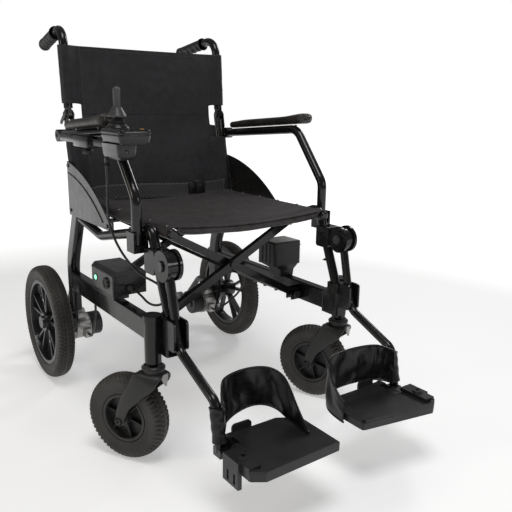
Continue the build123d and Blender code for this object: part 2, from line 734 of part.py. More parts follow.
def power_button():
    """Lit push button in the controller's side."""
    with BuildPart() as part:
        disc_x(-1, BUTTON_Y, BUTTON_Z, 5.9, 246, 251.5)
        fillet(part.edges().filter_by(GeomType.CIRCLE).sort_by(Axis.X)[0], 1)
    return part.part


def battery_dock():
    """Tapered socket that holds the battery above the left rail."""
    with BuildPart() as part:
        with BuildSketch(Plane.XY.offset(RAIL_TOP + 0.1)):
            with Locations((219, -34)):
                RectangleRounded(44, 48, 4)
        with BuildSketch(Plane.XY.offset(312)):
            with Locations((219, -34)):
                RectangleRounded(46, 52, 4)
        with BuildSketch(Plane.XY.offset(327.6)):
            with Locations((211, -34)):
                RectangleRounded(82, 66, 5)
        loft(ruled=True)
    return part.part


def battery_box():
    """Lift-off lithium battery with a pale lid and a ribbed side."""
    with BuildPart() as part:
        block((167, 255), (-70, 2), (328, 389))
        fillet(part.edges().filter_by(Axis.Z), 7)
        fillet(part.faces().sort_by(Axis.Z)[-1].edges(), 3)
        for k in range(3):
            block((165.6, 168), (-52 + 16 * k, -46 + 16 * k), (334, 382))
    return part.part


def lap_belt():
    """Webbing across the back of the seat and its buckle."""
    with BuildPart() as strap:
        block((-206, 206), (224, 226.4), (484, 522))
    with BuildPart() as buckle:
        block((84, 136), (214.5, 223.8), (480, 526))
        fillet(buckle.edges().filter_by(Axis.Y), 5)
    return [strap.part, buckle.part]


def cable(points, radius):
    """A cable along straight runs joined by the largest tangent arcs they allow."""
    bends = []
    for a, b, c in zip(points, points[1:], points[2:]):
        before, after = Vector(*b) - Vector(*a), Vector(*c) - Vector(*b)
        half_turn = radians(before.get_angle(after)) / 2
        bends.append(0.45 * min(before.length, after.length) / (sin(half_turn) / cos(half_turn)))
    print("cable radii:", [round(bend) for bend in bends])
    with BuildPart() as part:
        bar(points, bends, radius)
    return part.part


def frame_bolts(s):
    """Pivot bolts, hinge pins, screws and the backrest's release lever on one side."""
    pivot_off = -CROSS_OFF if s < 0 else CROSS_OFF
    solids = []
    with BuildPart() as arm_bolt:
        disc_x(s, cane_y(ARM_Z), ARM_Z, 5, 235.5, 259)
        disc_x(s, cane_y(ARM_Z), ARM_Z, 9, 258.4, 262)
    with BuildPart() as back_pin:
        disc_x(s, HINGE_Y, HINGE_Z, 4, 211, 233)
        disc_x(s, HINGE_Y, HINGE_Z, 7, 209.5, 212.9)
        disc_x(s, HINGE_Y, HINGE_Z, 8, 231.1, 234.5)
        with BuildSketch(Plane.YZ.offset(s * 231.1)):
            with Locations((HINGE_Y + 13, HINGE_Z - 9)):
                SlotCenterToCenter(34, 10, rotation=-35)
        extrude(amount=s * 3)
    with BuildPart() as leg_bolt:
        disc_x(s, DISC_Y, DISC_Z, 6, 211, 249)
        disc_x(s, DISC_Y, DISC_Z, 11, 208.5, 213.2)
        disc_x(s, DISC_Y, DISC_Z, 11, 246.8, 250.5)
    solids += [arm_bolt.part, back_pin.part, leg_bolt.part]
    for y in CROSS_Y:
        mid = y + pivot_off
        with BuildPart() as pivot:
            disc_y(s * LOWER_X, LOWER_Z, 5, mid - 21, mid + 21)
            disc_y(s * LOWER_X, LOWER_Z, 9, mid - 21, mid - 15.8)
            disc_y(s * LOWER_X, LOWER_Z, 9, mid + 15.8, mid + 21)
        solids.append(pivot.part)
    for y in (-10.0, 40.0, 90.0):
        with BuildPart() as screw:
            with Locations((s * 222, y, RAIL_LOW - 2.1)):
                Cylinder(5, 4)
        solids.append(screw.part)
    for y, z in ((250, 465), (20, 461), (254, 577)):
        with BuildPart() as screw:
            disc_x(s, y, z, 4.5, 241.2, 243.4)
        solids.append(screw.part)
    for y in (-20.0, 220.0):
        with BuildPart() as screw:
            with Locations((s * 266, y, armrest_top(y) + TUBE - 2)):
                Cylinder(3, 5)
        solids.append(screw.part)
    return solids


# ---- write every node
for name, s in SIDES.items():
    pieces = {
        "rear_upright": rear_upright(s), "lower_rail": lower_rail(s), "front_tube": front_tube(s),
        "caster_housing": caster_housing(s), "hanger_pivot": hanger_pivot(s),
        "side_guard": side_guard(s), "upper_cane": upper_cane(s), "push_grip": push_grip(s),
        "armrest_tube": armrest_tube(s), "armrest_pad": armrest_pad(s),
        "hanger_tube": hanger_tube(s), "footplate": footplate(s), "heel_loop": heel_loop(s),
        "rear_tyre": rear_tyre(s), "rear_rim": rear_rim(s), "caster_fork": caster_fork(name),
        "caster_tyre": caster_tyre(name), "caster_rim": caster_rim(name),
        "anti_tipper": anti_tipper(s), "anti_tip_wheel": anti_tip_wheel(s),
    }
    for piece, shape in pieces.items():
        save(shape, f"{piece}_{name}")
    save_group(drive_motor(s), f"drive_motor_{name}")
    save_group(frame_bolts(s), f"frame_bolts_{name}")

save(cross_frame(-1, -1), "cross_frame_b")
save(cross_frame(1, 1), "cross_frame_a")
save(seat_sling(), "seat_sling")
save(back_panel(728, 866, HINGE_Z + 3, cane_y(728), CANE_RAKE), "back_sling_upper")
save(back_panel(490, 632, HINGE_Z - 3, cane_y(490), CANE_DY), "back_sling_lower")
save_group(lap_belt(), "lap_belt")
save(joystick_housing(), "joystick_housing")
save(joystick_yoke(), "joystick_yoke")
save(joystick_stick(), "joystick_stick")
save(battery_dock(), "battery_dock")
save(battery_box(), "battery_box")
save(controller_box(), "controller_box")
save(power_button(), "power_button")
save(cable(JOYSTICK_ROUTE, 2.6), "joystick_cable")
save(cable(MOTOR_ROUTE, 3.0), "motor_cable_right")
save(cable([(-x, y, z) for x, y, z in MOTOR_ROUTE], 3.0), "motor_cable_left")
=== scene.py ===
"""Looks of the folding power wheelchair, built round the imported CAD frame."""
import json
from math import copysign, cos, exp, hypot, pi, radians, sin, sqrt, tau

import bmesh
import bpy
from mathutils import Matrix, Vector, noise


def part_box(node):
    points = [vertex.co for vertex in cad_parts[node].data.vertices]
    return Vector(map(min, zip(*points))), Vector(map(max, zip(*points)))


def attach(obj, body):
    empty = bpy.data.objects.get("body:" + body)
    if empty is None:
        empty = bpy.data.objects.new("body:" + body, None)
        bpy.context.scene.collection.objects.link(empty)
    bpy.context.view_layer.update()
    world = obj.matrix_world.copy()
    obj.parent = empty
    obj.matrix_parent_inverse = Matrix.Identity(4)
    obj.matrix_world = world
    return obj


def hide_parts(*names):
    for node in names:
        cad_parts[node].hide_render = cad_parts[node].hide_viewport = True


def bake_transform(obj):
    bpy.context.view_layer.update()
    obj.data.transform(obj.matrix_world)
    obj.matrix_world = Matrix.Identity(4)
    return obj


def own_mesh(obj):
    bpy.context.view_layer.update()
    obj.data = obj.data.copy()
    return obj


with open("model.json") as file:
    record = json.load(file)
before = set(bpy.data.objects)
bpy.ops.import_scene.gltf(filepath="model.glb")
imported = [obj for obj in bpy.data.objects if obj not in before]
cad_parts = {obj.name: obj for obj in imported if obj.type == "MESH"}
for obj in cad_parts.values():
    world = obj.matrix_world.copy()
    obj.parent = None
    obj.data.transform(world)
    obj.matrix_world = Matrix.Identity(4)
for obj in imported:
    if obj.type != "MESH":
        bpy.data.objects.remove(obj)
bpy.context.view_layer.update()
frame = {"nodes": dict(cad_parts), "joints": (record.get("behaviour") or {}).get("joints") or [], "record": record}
NODES = frame["nodes"]
MM = 0.001
TINY = 0.01 * MM    # the least radius of a lathed point
SIDES = {"right": -1, "left": 1}
JOINTS = {joint["name"]: joint for joint in frame["joints"]}

# ---- places on the frame, in metres
SEAT_LOW, SEAT_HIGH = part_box("seat_sling")
BACK_FOLD = Vector(JOINTS["back_fold_right"]["pos_m"])
CANE_X = 221 * MM
# the canes' lean, backwards over upwards, below and above the hinge
CANE_SLOPE = 45 / 230
UPPER_SLOPE = 0.0668
STICK = Vector(JOINTS["joystick_side"]["pos_m"])


# ---- small mesh helpers
def mm(*values):
    """Millimetres to metres."""
    return tuple(value * MM for value in values)


def placed(name, data):
    """A new object in the scene."""
    obj = bpy.data.objects.new(name, data)
    bpy.context.scene.collection.objects.link(obj)
    return obj


def mesh_object(name, verts, faces, material, smooth=True):
    """A new mesh object from lists of points and faces; material may be a name."""
    mesh = bpy.data.meshes.new(name)
    mesh.from_pydata([tuple(v) for v in verts], [], faces)
    mesh.validate()
    mesh.update()
    mesh.polygons.foreach_set("use_smooth", [smooth] * len(mesh.polygons))
    mesh.materials.append(MATERIALS[material] if isinstance(material, str) else material)
    return placed(name, mesh)


def grid_faces(rows, columns, wrap_rows=False, wrap_columns=False):
    """Quads over a grid of points stored row by row."""
    return [(i * columns + j, i * columns + (j + 1) % columns,
             (i + 1) % rows * columns + (j + 1) % columns, (i + 1) % rows * columns + j)
            for i in range(rows if wrap_rows else rows - 1)
            for j in range(columns if wrap_columns else columns - 1)]


def tube_faces(rows, columns):
    """Quads round a tube, and a face over each of its ends."""
    last = (rows - 1) * columns
    return grid_faces(rows, columns, wrap_columns=True) + [
        tuple(range(columns)), tuple(last + j for j in reversed(range(columns)))]


def surface(name, point, rows, columns, material, wrap=False, ends=False):
    """A mesh over point(u, v), with u and v running from 0 to 1; wrap closes it along v."""
    around = columns if wrap else columns - 1
    verts = [point(i / (rows - 1), j / around) for i in range(rows) for j in range(columns)]
    faces = tube_faces(rows, columns) if ends else grid_faces(rows, columns, wrap_columns=wrap)
    return mesh_object(name, verts, faces, material)


def modify(obj, kind, **values):
    """Add one modifier and set its values."""
    modifier = obj.modifiers.new(kind.lower(), kind)
    for key, value in values.items():
        setattr(modifier, key, value)
    return modifier


def apply_modifiers(obj):
    """Bake an object's modifiers into its mesh."""
    graph = bpy.context.evaluated_depsgraph_get()
    obj.data = bpy.data.meshes.new_from_object(obj.evaluated_get(graph))
    obj.modifiers.clear()


def joined(name, objects):
    """Join several mesh objects into one."""
    graph = bpy.context.evaluated_depsgraph_get()
    verts, faces, smooth, material = [], [], [], objects[0].data.materials[0]
    for obj in objects:
        mesh = obj.evaluated_get(graph).to_mesh()
        start = len(verts)
        verts += [obj.matrix_world @ v.co for v in mesh.vertices]
        faces += [tuple(start + i for i in p.vertices) for p in mesh.polygons]
        smooth += [p.use_smooth for p in mesh.polygons]
        obj.evaluated_get(graph).to_mesh_clear()
    for obj in objects:
        bpy.data.objects.remove(obj)
    whole = mesh_object(name, verts, faces, material)
    whole.data.polygons.foreach_set("use_smooth", smooth)
    return whole


def tube(name, points, radius, material, sides=12, flat=1.0):
    """A closed tube along points. radius is in mm, or a function of the share of the way."""
    points = [Vector(p) for p in points]
    count = len(points)
    verts, across = [], None
    for k, point in enumerate(points):
        along = (points[min(k + 1, count - 1)] - points[max(k - 1, 0)]).normalized()
        if across is None:
            across = along.orthogonal().normalized()
        across = (across - along * across.dot(along)).normalized()
        other = along.cross(across)
        r = (radius(k / (count - 1)) if callable(radius) else radius) * MM
        for j in range(sides):
            a = tau * j / sides
            verts.append(point + across * r * cos(a) + other * r * flat * sin(a))
    return mesh_object(name, verts, tube_faces(count, sides), material)


def lathe(name, profile, centre, axis, material, segments=48):
    """Revolve (height along axis, radius) pairs in mm about an axis through centre."""
    axis = Vector(axis).normalized()
    side = axis.orthogonal().normalized()
    other = axis.cross(side)
    verts = []
    for height, r in profile:
        for j in range(segments):
            a = tau * j / segments
            verts.append(Vector(centre) + axis * (height * MM)
                         + (side * cos(a) + other * sin(a)) * max(r * MM, TINY))
    return mesh_object(name, verts, tube_faces(len(profile), segments), material)


def rounded_box(name, low, high, material, radius):
    """A box with edges rounded by a radius in mm."""
    low, high = Vector(low), Vector(high)
    corners = [(x, y, z) for z in (low.z, high.z) for y in (low.y, high.y) for x in (low.x, high.x)]
    faces = [(0, 2, 3, 1), (4, 5, 7, 6), (0, 1, 5, 4), (2, 6, 7, 3), (0, 4, 6, 2), (1, 3, 7, 5)]
    obj = mesh_object(name, corners, faces, material)
    modify(obj, "BEVEL", width=radius * MM, segments=3, limit_method="NONE")
    return obj


def smoothstep(low, high, x):
    """0 below low, 1 above high, smooth between."""
    t = min(1.0, max(0.0, (x - low) / (high - low)))
    return t * t * (3 - 2 * t)


def signed_power(value, power):
    """A power that keeps its sign, for rounded rectangles in place of circles."""
    return copysign(abs(value) ** power, value)


def lerp_table(table, t):
    """Smooth interpolation through (place, value) pairs."""
    for (a, p), (b, q) in zip(table, table[1:]):
        if t <= b:
            k = smoothstep(a, b, t)
            return p + (q - p) * k
    return table[-1][1]


def spline_points(points, steps=10):
    """Points along a NURBS spline with the given control points."""
    curve = bpy.data.curves.new("route", "CURVE")
    curve.dimensions = "3D"
    spline = curve.splines.new("NURBS")
    spline.points.add(len(points) - 1)
    for target, point in zip(spline.points, points):
        target.co = (*point, 1)
    spline.order_u = 3
    spline.use_endpoint_u = True
    spline.resolution_u = steps
    obj = placed("route", curve)
    mesh = bpy.data.meshes.new_from_object(obj)
    found = [Vector(v.co) for v in mesh.vertices]
    bpy.data.objects.remove(obj)
    return found


# ---- materials
class Shader:
    """One procedural material: colour, roughness and relief, placed by object coordinates."""

    def __init__(self, name, rough, metallic=0.0, coat=0.0, coat_rough=0.1, sheen=0.0, gloss=0.5):
        self.material = bpy.data.materials.new(name)
        self.material.use_nodes = True
        self.tree = self.material.node_tree
        self.bsdf = self.tree.nodes["Principled BSDF"]
        for key, value in {"Roughness": rough, "Metallic": metallic, "Coat Weight": coat,
                           "Coat Roughness": coat_rough, "Sheen Weight": sheen,
                           "Specular IOR Level": gloss}.items():
            self.bsdf.inputs[key].default_value = value
        self.rough = rough
        self.place = self.add("ShaderNodeTexCoord").outputs["Object"]
        self.normal = None

    def add(self, kind, links=None, **values):
        """Add a node; values set its inputs, links join outputs to its inputs."""
        made = self.tree.nodes.new(kind)
        for key, value in values.items():
            made.inputs[key].default_value = value
        for key, output in (links or {}).items():
            self.tree.links.new(output, made.inputs[key])
        return made

    def noise(self, scale, detail=3.0, stretch=(1, 1, 1)):
        """A noise value from 0 to 1, stretched along the object's axes."""
        spread = self.add("ShaderNodeMapping", {"Vector": self.place}, Scale=stretch)
        return self.add("ShaderNodeTexNoise", {"Vector": spread.outputs["Vector"]}, Scale=scale,
                        Detail=detail).outputs["Fac"]

    def waves(self, period, direction, distortion=0.0):
        """Even bands along X, Y, Z or a diagonal, one each period metres."""
        wave = self.add("ShaderNodeTexWave", {"Vector": self.place},
                        Scale=pi / 10 / period, Distortion=distortion)
        wave.bands_direction = direction
        return wave.outputs["Fac"]

    def put(self, sockets, values):
        """Set each socket to a constant, or join it to an output."""
        for socket, value in zip(sockets, values):
            if isinstance(value, bpy.types.NodeSocket):
                self.tree.links.new(value, socket)
            else:
                socket.default_value = value

    def math(self, operation, a, b):
        """Combine two values."""
        made = self.add("ShaderNodeMath")
        made.operation = operation
        self.put(made.inputs, (a, b))
        return made.outputs["Value"]

    def mix(self, share, first, second):
        """Mix two colours, given as outputs, as values or as a grey."""
        made = self.add("ShaderNodeMix", {"Factor": share})
        made.data_type = "RGBA"
        for socket, colour in zip(made.inputs[6:8], (first, second)):
            if isinstance(colour, float):
                colour = (colour,) * 3
            self.put([socket], [(*colour, 1) if isinstance(colour, tuple) else colour])
        return made.outputs[2]

    def ramp(self, value, low, high, start=0.0, end=1.0):
        """Spread a value from low..high over start..end."""
        return self.add("ShaderNodeMapRange", {"Value": value}, **{
            "From Min": low, "From Max": high, "To Min": start, "To Max": end}).outputs["Result"]

    def feed(self, output, socket):
        """Join an output to the surface shader."""
        self.tree.links.new(output, self.bsdf.inputs[socket])

    def colour(self, share, first, second):
        """Mix two colours for the surface."""
        self.feed(self.mix(share, first, second), "Base Color")

    def roughness(self, value, swing):
        """Vary the roughness about its mean with a noise value."""
        self.feed(self.ramp(value, 0.3, 0.7, self.rough - swing, self.rough + swing), "Roughness")

    def round_edges(self, radius):
        """Soften hard edges in the shading."""
        bevel = self.add("ShaderNodeBevel", Radius=radius)
        bevel.samples = 4
        self.normal = bevel.outputs["Normal"]
        self.feed(self.normal, "Normal")

    def relief(self, height, depth, strength=1.0):
        """Add a bump of the given depth in metres on top of what is there."""
        bump = self.add("ShaderNodeBump", {"Height": height}, Strength=strength, Distance=depth)
        if self.normal is not None:
            self.tree.links.new(self.normal, bump.inputs["Normal"])
        self.normal = bump.outputs["Normal"]
        self.feed(self.normal, "Normal")


def hard_material(name, first, second, rough, swing=0.05, grain=900, depth=0.05, edge=0.8, **more):
    """Paint or plastic: a mottled colour, uneven gloss and a fine grain."""
    more.setdefault("gloss", 0.35)
    shader = Shader(name, rough, **more)
    if edge:
        shader.round_edges(edge * MM)
    patches = shader.noise(14, 4)
    shader.colour(shader.ramp(patches, 0.35, 0.65), first, second)
    shader.roughness(shader.noise(45, 4), swing)
    shader.relief(shader.noise(grain, 2), depth * MM)
    return shader


def woven(name, first, second, rough, period, directions, depth=0.12, sheen=0.05, gloss=0.22,
          waviness=0.6):
    """Woven cloth: two crossing sets of threads, a period in mm apart, and slow wear patches."""
    shader = Shader(name, rough, sheen=sheen, gloss=gloss)
    threads = [shader.waves(period * MM, d) for d in directions]
    weave = shader.math("MULTIPLY", threads[0], threads[-1])
    patches = shader.math("MULTIPLY", shader.noise(7, 5, (0.5, 1, 1)), shader.noise(60, 3))
    share = shader.math("ADD", shader.ramp(patches, 0.15, 0.4), shader.math("MULTIPLY", weave, 0.3))
    shader.colour(share, first, second)
    shader.roughness(shader.noise(30, 3), 0.06)
    shader.relief(shader.noise(26, 3, (0.35, 1, 1)), waviness * MM, 0.6)
    shader.relief(weave, depth * MM)
    return shader.material


def motor_material():
    """Cast aluminium gearbox outboard, black painted can inboard."""
    shader = Shader("motor_metal", 0.42)
    shader.round_edges(0.8 * MM)
    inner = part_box("rear_upright_left")[0].x - 26 * MM
    x = shader.add("ShaderNodeSeparateXYZ", {"Vector": shader.place}).outputs["X"]
    cast = shader.math("GREATER_THAN", shader.math("ABSOLUTE", x, 0), inner)
    mottled = shader.mix(shader.noise(90, 5), (0.30, 0.30, 0.29), (0.52, 0.51, 0.49))
    shader.colour(cast, (0.012, 0.012, 0.013), mottled)
    shader.feed(cast, "Metallic")
    shader.relief(shader.noise(350, 4), 0.25 * MM)
    return shader.material


def glow_material():
    """Lit green lens."""
    shader = Shader("button_green", 0.2)
    shader.bsdf.inputs["Base Color"].default_value = (0.1, 0.75, 0.35, 1)
    shader.bsdf.inputs["Emission Color"].default_value = (0.25, 1.0, 0.5, 1)
    shader.bsdf.inputs["Emission Strength"].default_value = 2.2
    shader.relief(shader.noise(600, 2), 0.05 * MM)
    return shader.material


def footplate_material():
    """Moulded plastic with fine non-slip ribs on its upper face."""
    shader = hard_material("footplate_plastic", (0.012, 0.012, 0.013), (0.024, 0.024, 0.026), 0.38,
                           grain=500, depth=0.12, edge=1.2)
    facing = shader.add("ShaderNodeSeparateXYZ", {
        "Vector": shader.add("ShaderNodeNewGeometry").outputs["True Normal"]}).outputs["Z"]
    top = shader.math("GREATER_THAN", facing, 0.9)
    ribs = shader.math("MULTIPLY", shader.waves(3.2 * MM, "X"), top)
    shader.relief(ribs, 0.5 * MM)
    return shader.material


def webbing_material():
    """Belt webbing with its slanted twill."""
    shader = Shader("belt_webbing", 0.62, sheen=0.3)
    twill = shader.waves(5 * MM, "DIAGONAL", 0.4)
    shader.colour(twill, (0.010, 0.010, 0.011), (0.038, 0.038, 0.041))
    shader.relief(twill, 0.4 * MM)
    shader.relief(shader.waves(1.1 * MM, "X"), 0.1 * MM)
    return shader.material


# paint, plastic and rubber: two colours, the roughness, and what differs from the usual
HARD = {
    "frame_black": ((0.0035, 0.0035, 0.004), (0.008, 0.0075, 0.007), 0.20,
                    dict(grain=420, depth=0.03, edge=1.2, coat=0.22, coat_rough=0.05, gloss=0.26)),
    "bolt_steel": (0.05, 0.12, 0.3, dict(metallic=0.8)),
    "anti_tip_black": (0.012, 0.025, 0.3, dict(coat=0.3)),
    "guard_plastic": ((0.008, 0.008, 0.0078), (0.016, 0.0152, 0.0145), 0.3,
                      dict(edge=1.5, coat=0.25, coat_rough=0.2)),
    "grip_rubber": (0.011, (0.020, 0.0195, 0.019), 0.48, dict(grain=650, depth=0.15, edge=0)),
    "pad_foam": ((0.014, 0.0125, 0.011), (0.028, 0.025, 0.022), 0.42,
                 dict(grain=520, depth=0.2, edge=0)),
    "tyre_rubber": ((0.022, 0.020, 0.018), (0.044, 0.040, 0.036), 0.55,
                    dict(grain=700, depth=0.12, edge=0)),
    "rim_black": ((0.009, 0.009, 0.010), (0.020, 0.020, 0.021), 0.32, dict(edge=1.5, coat=0.2)),
    "caster_plastic": (0.016, (0.030, 0.029, 0.028), 0.40, dict(grain=380, depth=0.15, edge=2.5)),
    "roller_rubber": (0.14, 0.20, 0.5, {}),
    "control_plastic": (0.006, 0.013, 0.24, dict(grain=800, depth=0.1, edge=1.8, coat=0.25,
                                                 coat_rough=0.08, gloss=0.26)),
    "stick_rubber": ((0.035, 0.035, 0.037), (0.055, 0.055, 0.058), 0.36,
                     dict(grain=700, depth=0.08, edge=0)),
    "battery_plastic": (0.009, 0.018, 0.32, dict(grain=500, depth=0.15, edge=2, gloss=0.26)),
    "cable_jacket": (0.010, 0.020, 0.45, dict(edge=0)),
    "pale_lid": ((0.42, 0.41, 0.39), (0.56, 0.55, 0.53), 0.5, dict(edge=0.5)),
    "amber_lens": ((0.75, 0.30, 0.05), (0.85, 0.40, 0.08), 0.25, dict(edge=0)),
    "reflector_grey": ((0.38, 0.37, 0.36), (0.50, 0.49, 0.47), 0.35,
                       dict(grain=1500, depth=0.2, edge=0.5)),
}
# cloth: two colours, the roughness, the threads' spacing in mm and their directions, and the rest
WOVEN = {
    "heel_webbing": ((0.003, 0.003, 0.0032), (0.010, 0.010, 0.0108), 0.30, 1.2, "XZ",
                     dict(depth=0.03, sheen=0.0, gloss=0.34, waviness=0.12)),
    "seat_fabric": ((0.020, 0.017, 0.017), (0.042, 0.037, 0.037), 0.46, 1.6, "XY",
                    dict(depth=0.1)),
    "back_fabric": ((0.0045, 0.0041, 0.0052), (0.014, 0.0128, 0.0155), 0.48, 1.6, "XZ",
                    dict(depth=0.14, sheen=0.03, gloss=0.30, waviness=1.6)),
}
MATERIALS = {name: hard_material(name, *row[:3], **row[3]).material for name, row in HARD.items()}
MATERIALS |= {name: woven(name, *row[:5], **row[5]) for name, row in WOVEN.items()}
MATERIALS |= {"motor_metal": motor_material(), "button_green": glow_material(),
              "footplate_plastic": footplate_material(), "belt_webbing": webbing_material()}

# rounding of the CAD nodes' hard edges in mm, by slot
ROUNDED = {"control_plastic": 1.6, "battery_plastic": 1.8, "footplate_plastic": 2.6,
           "guard_plastic": 1.0, "caster_plastic": 1.2, "motor_metal": 0.6, "rim_black": 0.8}


def dress_nodes():
    """Give every CAD node the material of its slot."""
    for row in frame["record"]["subparts"]:
        obj, slot = NODES[row["node"]], row["material_slot"]
        obj.data.materials.clear()
        obj.data.materials.append(MATERIALS[slot])
        if slot in ROUNDED:
            modify(obj, "WELD", merge_threshold=0.02 * MM)
            modify(obj, "BEVEL", width=ROUNDED[slot] * MM, segments=2, limit_method="ANGLE",
                   angle_limit=radians(38), harden_normals=True)


# the heights between which the screws under the pads lie
PAD_SCREWS = (0.64, 0.69)


def island(seed):
    """All faces joined to one face."""
    found, front = {seed}, [seed]
    while front:
        near = {face for edge in front.pop().edges for face in edge.link_faces} - found
        found |= near
        front += near
    return found


def bolts():
    """The bolts of each side; the screws under a pad go with its armrest."""
    for name in SIDES:
        node = f"frame_bolts_{name}"
        pad_low, pad_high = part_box(f"armrest_pad_{name}")
        mesh = bmesh.new()
        mesh.from_mesh(NODES[node].data)
        bmesh.ops.remove_doubles(mesh, verts=mesh.verts, dist=0.001 * MM)
        mesh.verts.index_update()
        mesh.faces.index_update()
        bolt_faces, screw_faces, rest = [], [], set(mesh.faces)
        while rest:
            part = island(next(iter(rest)))
            rest -= part
            corners = [v.co for face in part for v in face.verts]
            middle = sum(corners, Vector()) / len(corners)
            level = all(PAD_SCREWS[0] < c.z < PAD_SCREWS[1] for c in corners)
            if not (level and pad_low.x < middle.x < pad_high.x):
                bolt_faces += part
            elif middle.y < pad_high.y:
                screw_faces += part
        for kind, found, body, nodes in (("bolts", bolt_faces, f"frame_{name}", [node]),
                                         ("screws", screw_faces, f"armrest_{name}", [])):
            faces = sorted(found, key=lambda face: face.index)
            verts = sorted({v for face in faces for v in face.verts}, key=lambda v: v.index)
            place = {v: k for k, v in enumerate(verts)}
            piece = mesh_object(f"{kind}_{name}", [v.co.copy() for v in verts],
                                [tuple(place[v] for v in face.verts) for face in faces],
                                "bolt_steel")
            piece.data.set_sharp_from_angle(angle=radians(32))
            finish_piece(piece, "bolt_steel", body, *nodes)
        mesh.free()


def finish_piece(obj, slot, body, *nodes):
    """Ride on a body and stand for CAD nodes; slot is not used."""
    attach(obj, body)
    if nodes:
        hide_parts(*nodes)


def turned(name, slot, body, material, profile, centre, axis=(0, 0, 1), segments=48):
    """A lathed piece that rides on a body."""
    finish_piece(lathe(name, profile, centre, axis, material, segments), slot, body)


def boxed(name, slot, body, material, low, high, radius):
    """A rounded box that rides on a body."""
    finish_piece(rounded_box(name, low, high, material, radius), slot, body)


def fold_with_frame(*pieces):
    """Give each piece a mesh of its own."""
    for obj in pieces:
        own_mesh(obj)


# ---- wheels
def tyre(name, centre, axle, size, cuts, segments, body):
    """A tyre with grooves round it and cut shoulder blocks.

    size is (half width, bead radius, crown radius); cuts are the grooves' places across."""
    half, bead, crown = size
    axle = Vector(axle).normalized()
    up = Vector((0, 0, 1))
    side = axle.cross(up).normalized()
    middle, rise = (crown + bead) / 2, (crown - bead) / 2
    groove, depth = 1.5 * MM, 3.2 * MM
    block, gap_width = 6, 2     # a tread block and the cut after it, in segments
    wall = [(-half * share, r) for share, r in (
        (0.72, bead), (0.86, bead + 3 * MM), (0.82, bead + 4.5 * MM), (0.95, middle - rise * 0.45),
        (0.91, middle - rise * 0.38), (0.985, middle - rise * 0.25),
        (0.94, middle + rise * 0.12), (0.97, middle + rise * 0.17))]

    def outline(x):
        """The tyre's radius at a distance across, on its crown."""
        return middle + rise * (1 - abs(x / half) ** 2.6) ** 0.38

    places = {half * k / 12 for k in range(-11, 12)}
    for cut in cuts:
        for sign in (-1, 1):
            places |= {sign * (cut - groove) * 1.001, sign * (cut - groove * 0.6),
                       sign * (cut + groove * 0.6), sign * (cut + groove) * 1.001}
    verts = []
    for k in range(segments):
        turn = tau * k / segments
        direction = up * cos(turn) + side * sin(turn)
        gap = k % block < gap_width
        shift = (k + block // 2) % block < gap_width
        row = list(wall)
        for x in sorted(places):
            r = outline(x)
            if any(abs(abs(x) - cut) < groove * 0.8 for cut in cuts):
                r -= depth
            elif abs(x) > cuts[-1] and abs(x) < half * 0.97 and gap:
                r -= depth
            elif cuts[0] < abs(x) < cuts[-1] and shift:
                r -= depth * 0.8
            row.append((x, r))
        row += [(-x, r) for x, r in reversed(wall)]
        verts += [Vector(centre) + axle * x + direction * r for x, r in row]
    obj = mesh_object(name, verts, grid_faces(segments, len(row), True, True), "tyre_rubber")
    finish_piece(obj, "tyre_rubber", body, name.replace("_tread", ""))


def wheels():
    """Treaded tyres over the plain CAD rings."""
    for name in SIDES:
        low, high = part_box(f"rear_tyre_{name}")
        centre = (low + high) / 2
        centre.z = 152.5 * MM
        tyre(f"rear_tyre_{name}_tread", centre, (1, 0, 0), (22.5 * MM, 114.8 * MM, 152.3 * MM),
             (4 * MM, 12 * MM), 540, f"rear_wheel_{name}")
        roll = JOINTS[f"caster_roll_{name}"]
        tyre(f"caster_tyre_{name}_tread", roll["pos_m"], roll["axis"],
             (25 * MM, 52.6 * MM, 92.8 * MM), (5 * MM, 13 * MM), 324, f"caster_wheel_{name}")
        fork_details(name)


# a fork arm's centre line from the axle to the crown, as (along the axle, ahead, up) in mm, and
# its half width and lean there
FORK_ARM = [(-31.5, -3, -9), (-31.5, 0, 0), (-31.5, 9, 32), (-31.5, 30, 62), (-31.5, 54, 88),
            (-27, 65, 107), (0, 65, 110)]
FORK_WIDTH = [(0, 4), (0.04, 10), (0.12, 13), (0.25, 20), (0.36, 27), (0.45, 27), (0.5, 25)]
FORK_LEAN = [(0, -0.1), (0.12, -0.3), (0.25, -0.6), (0.36, -0.5), (0.45, -0.1), (0.5, 0)]


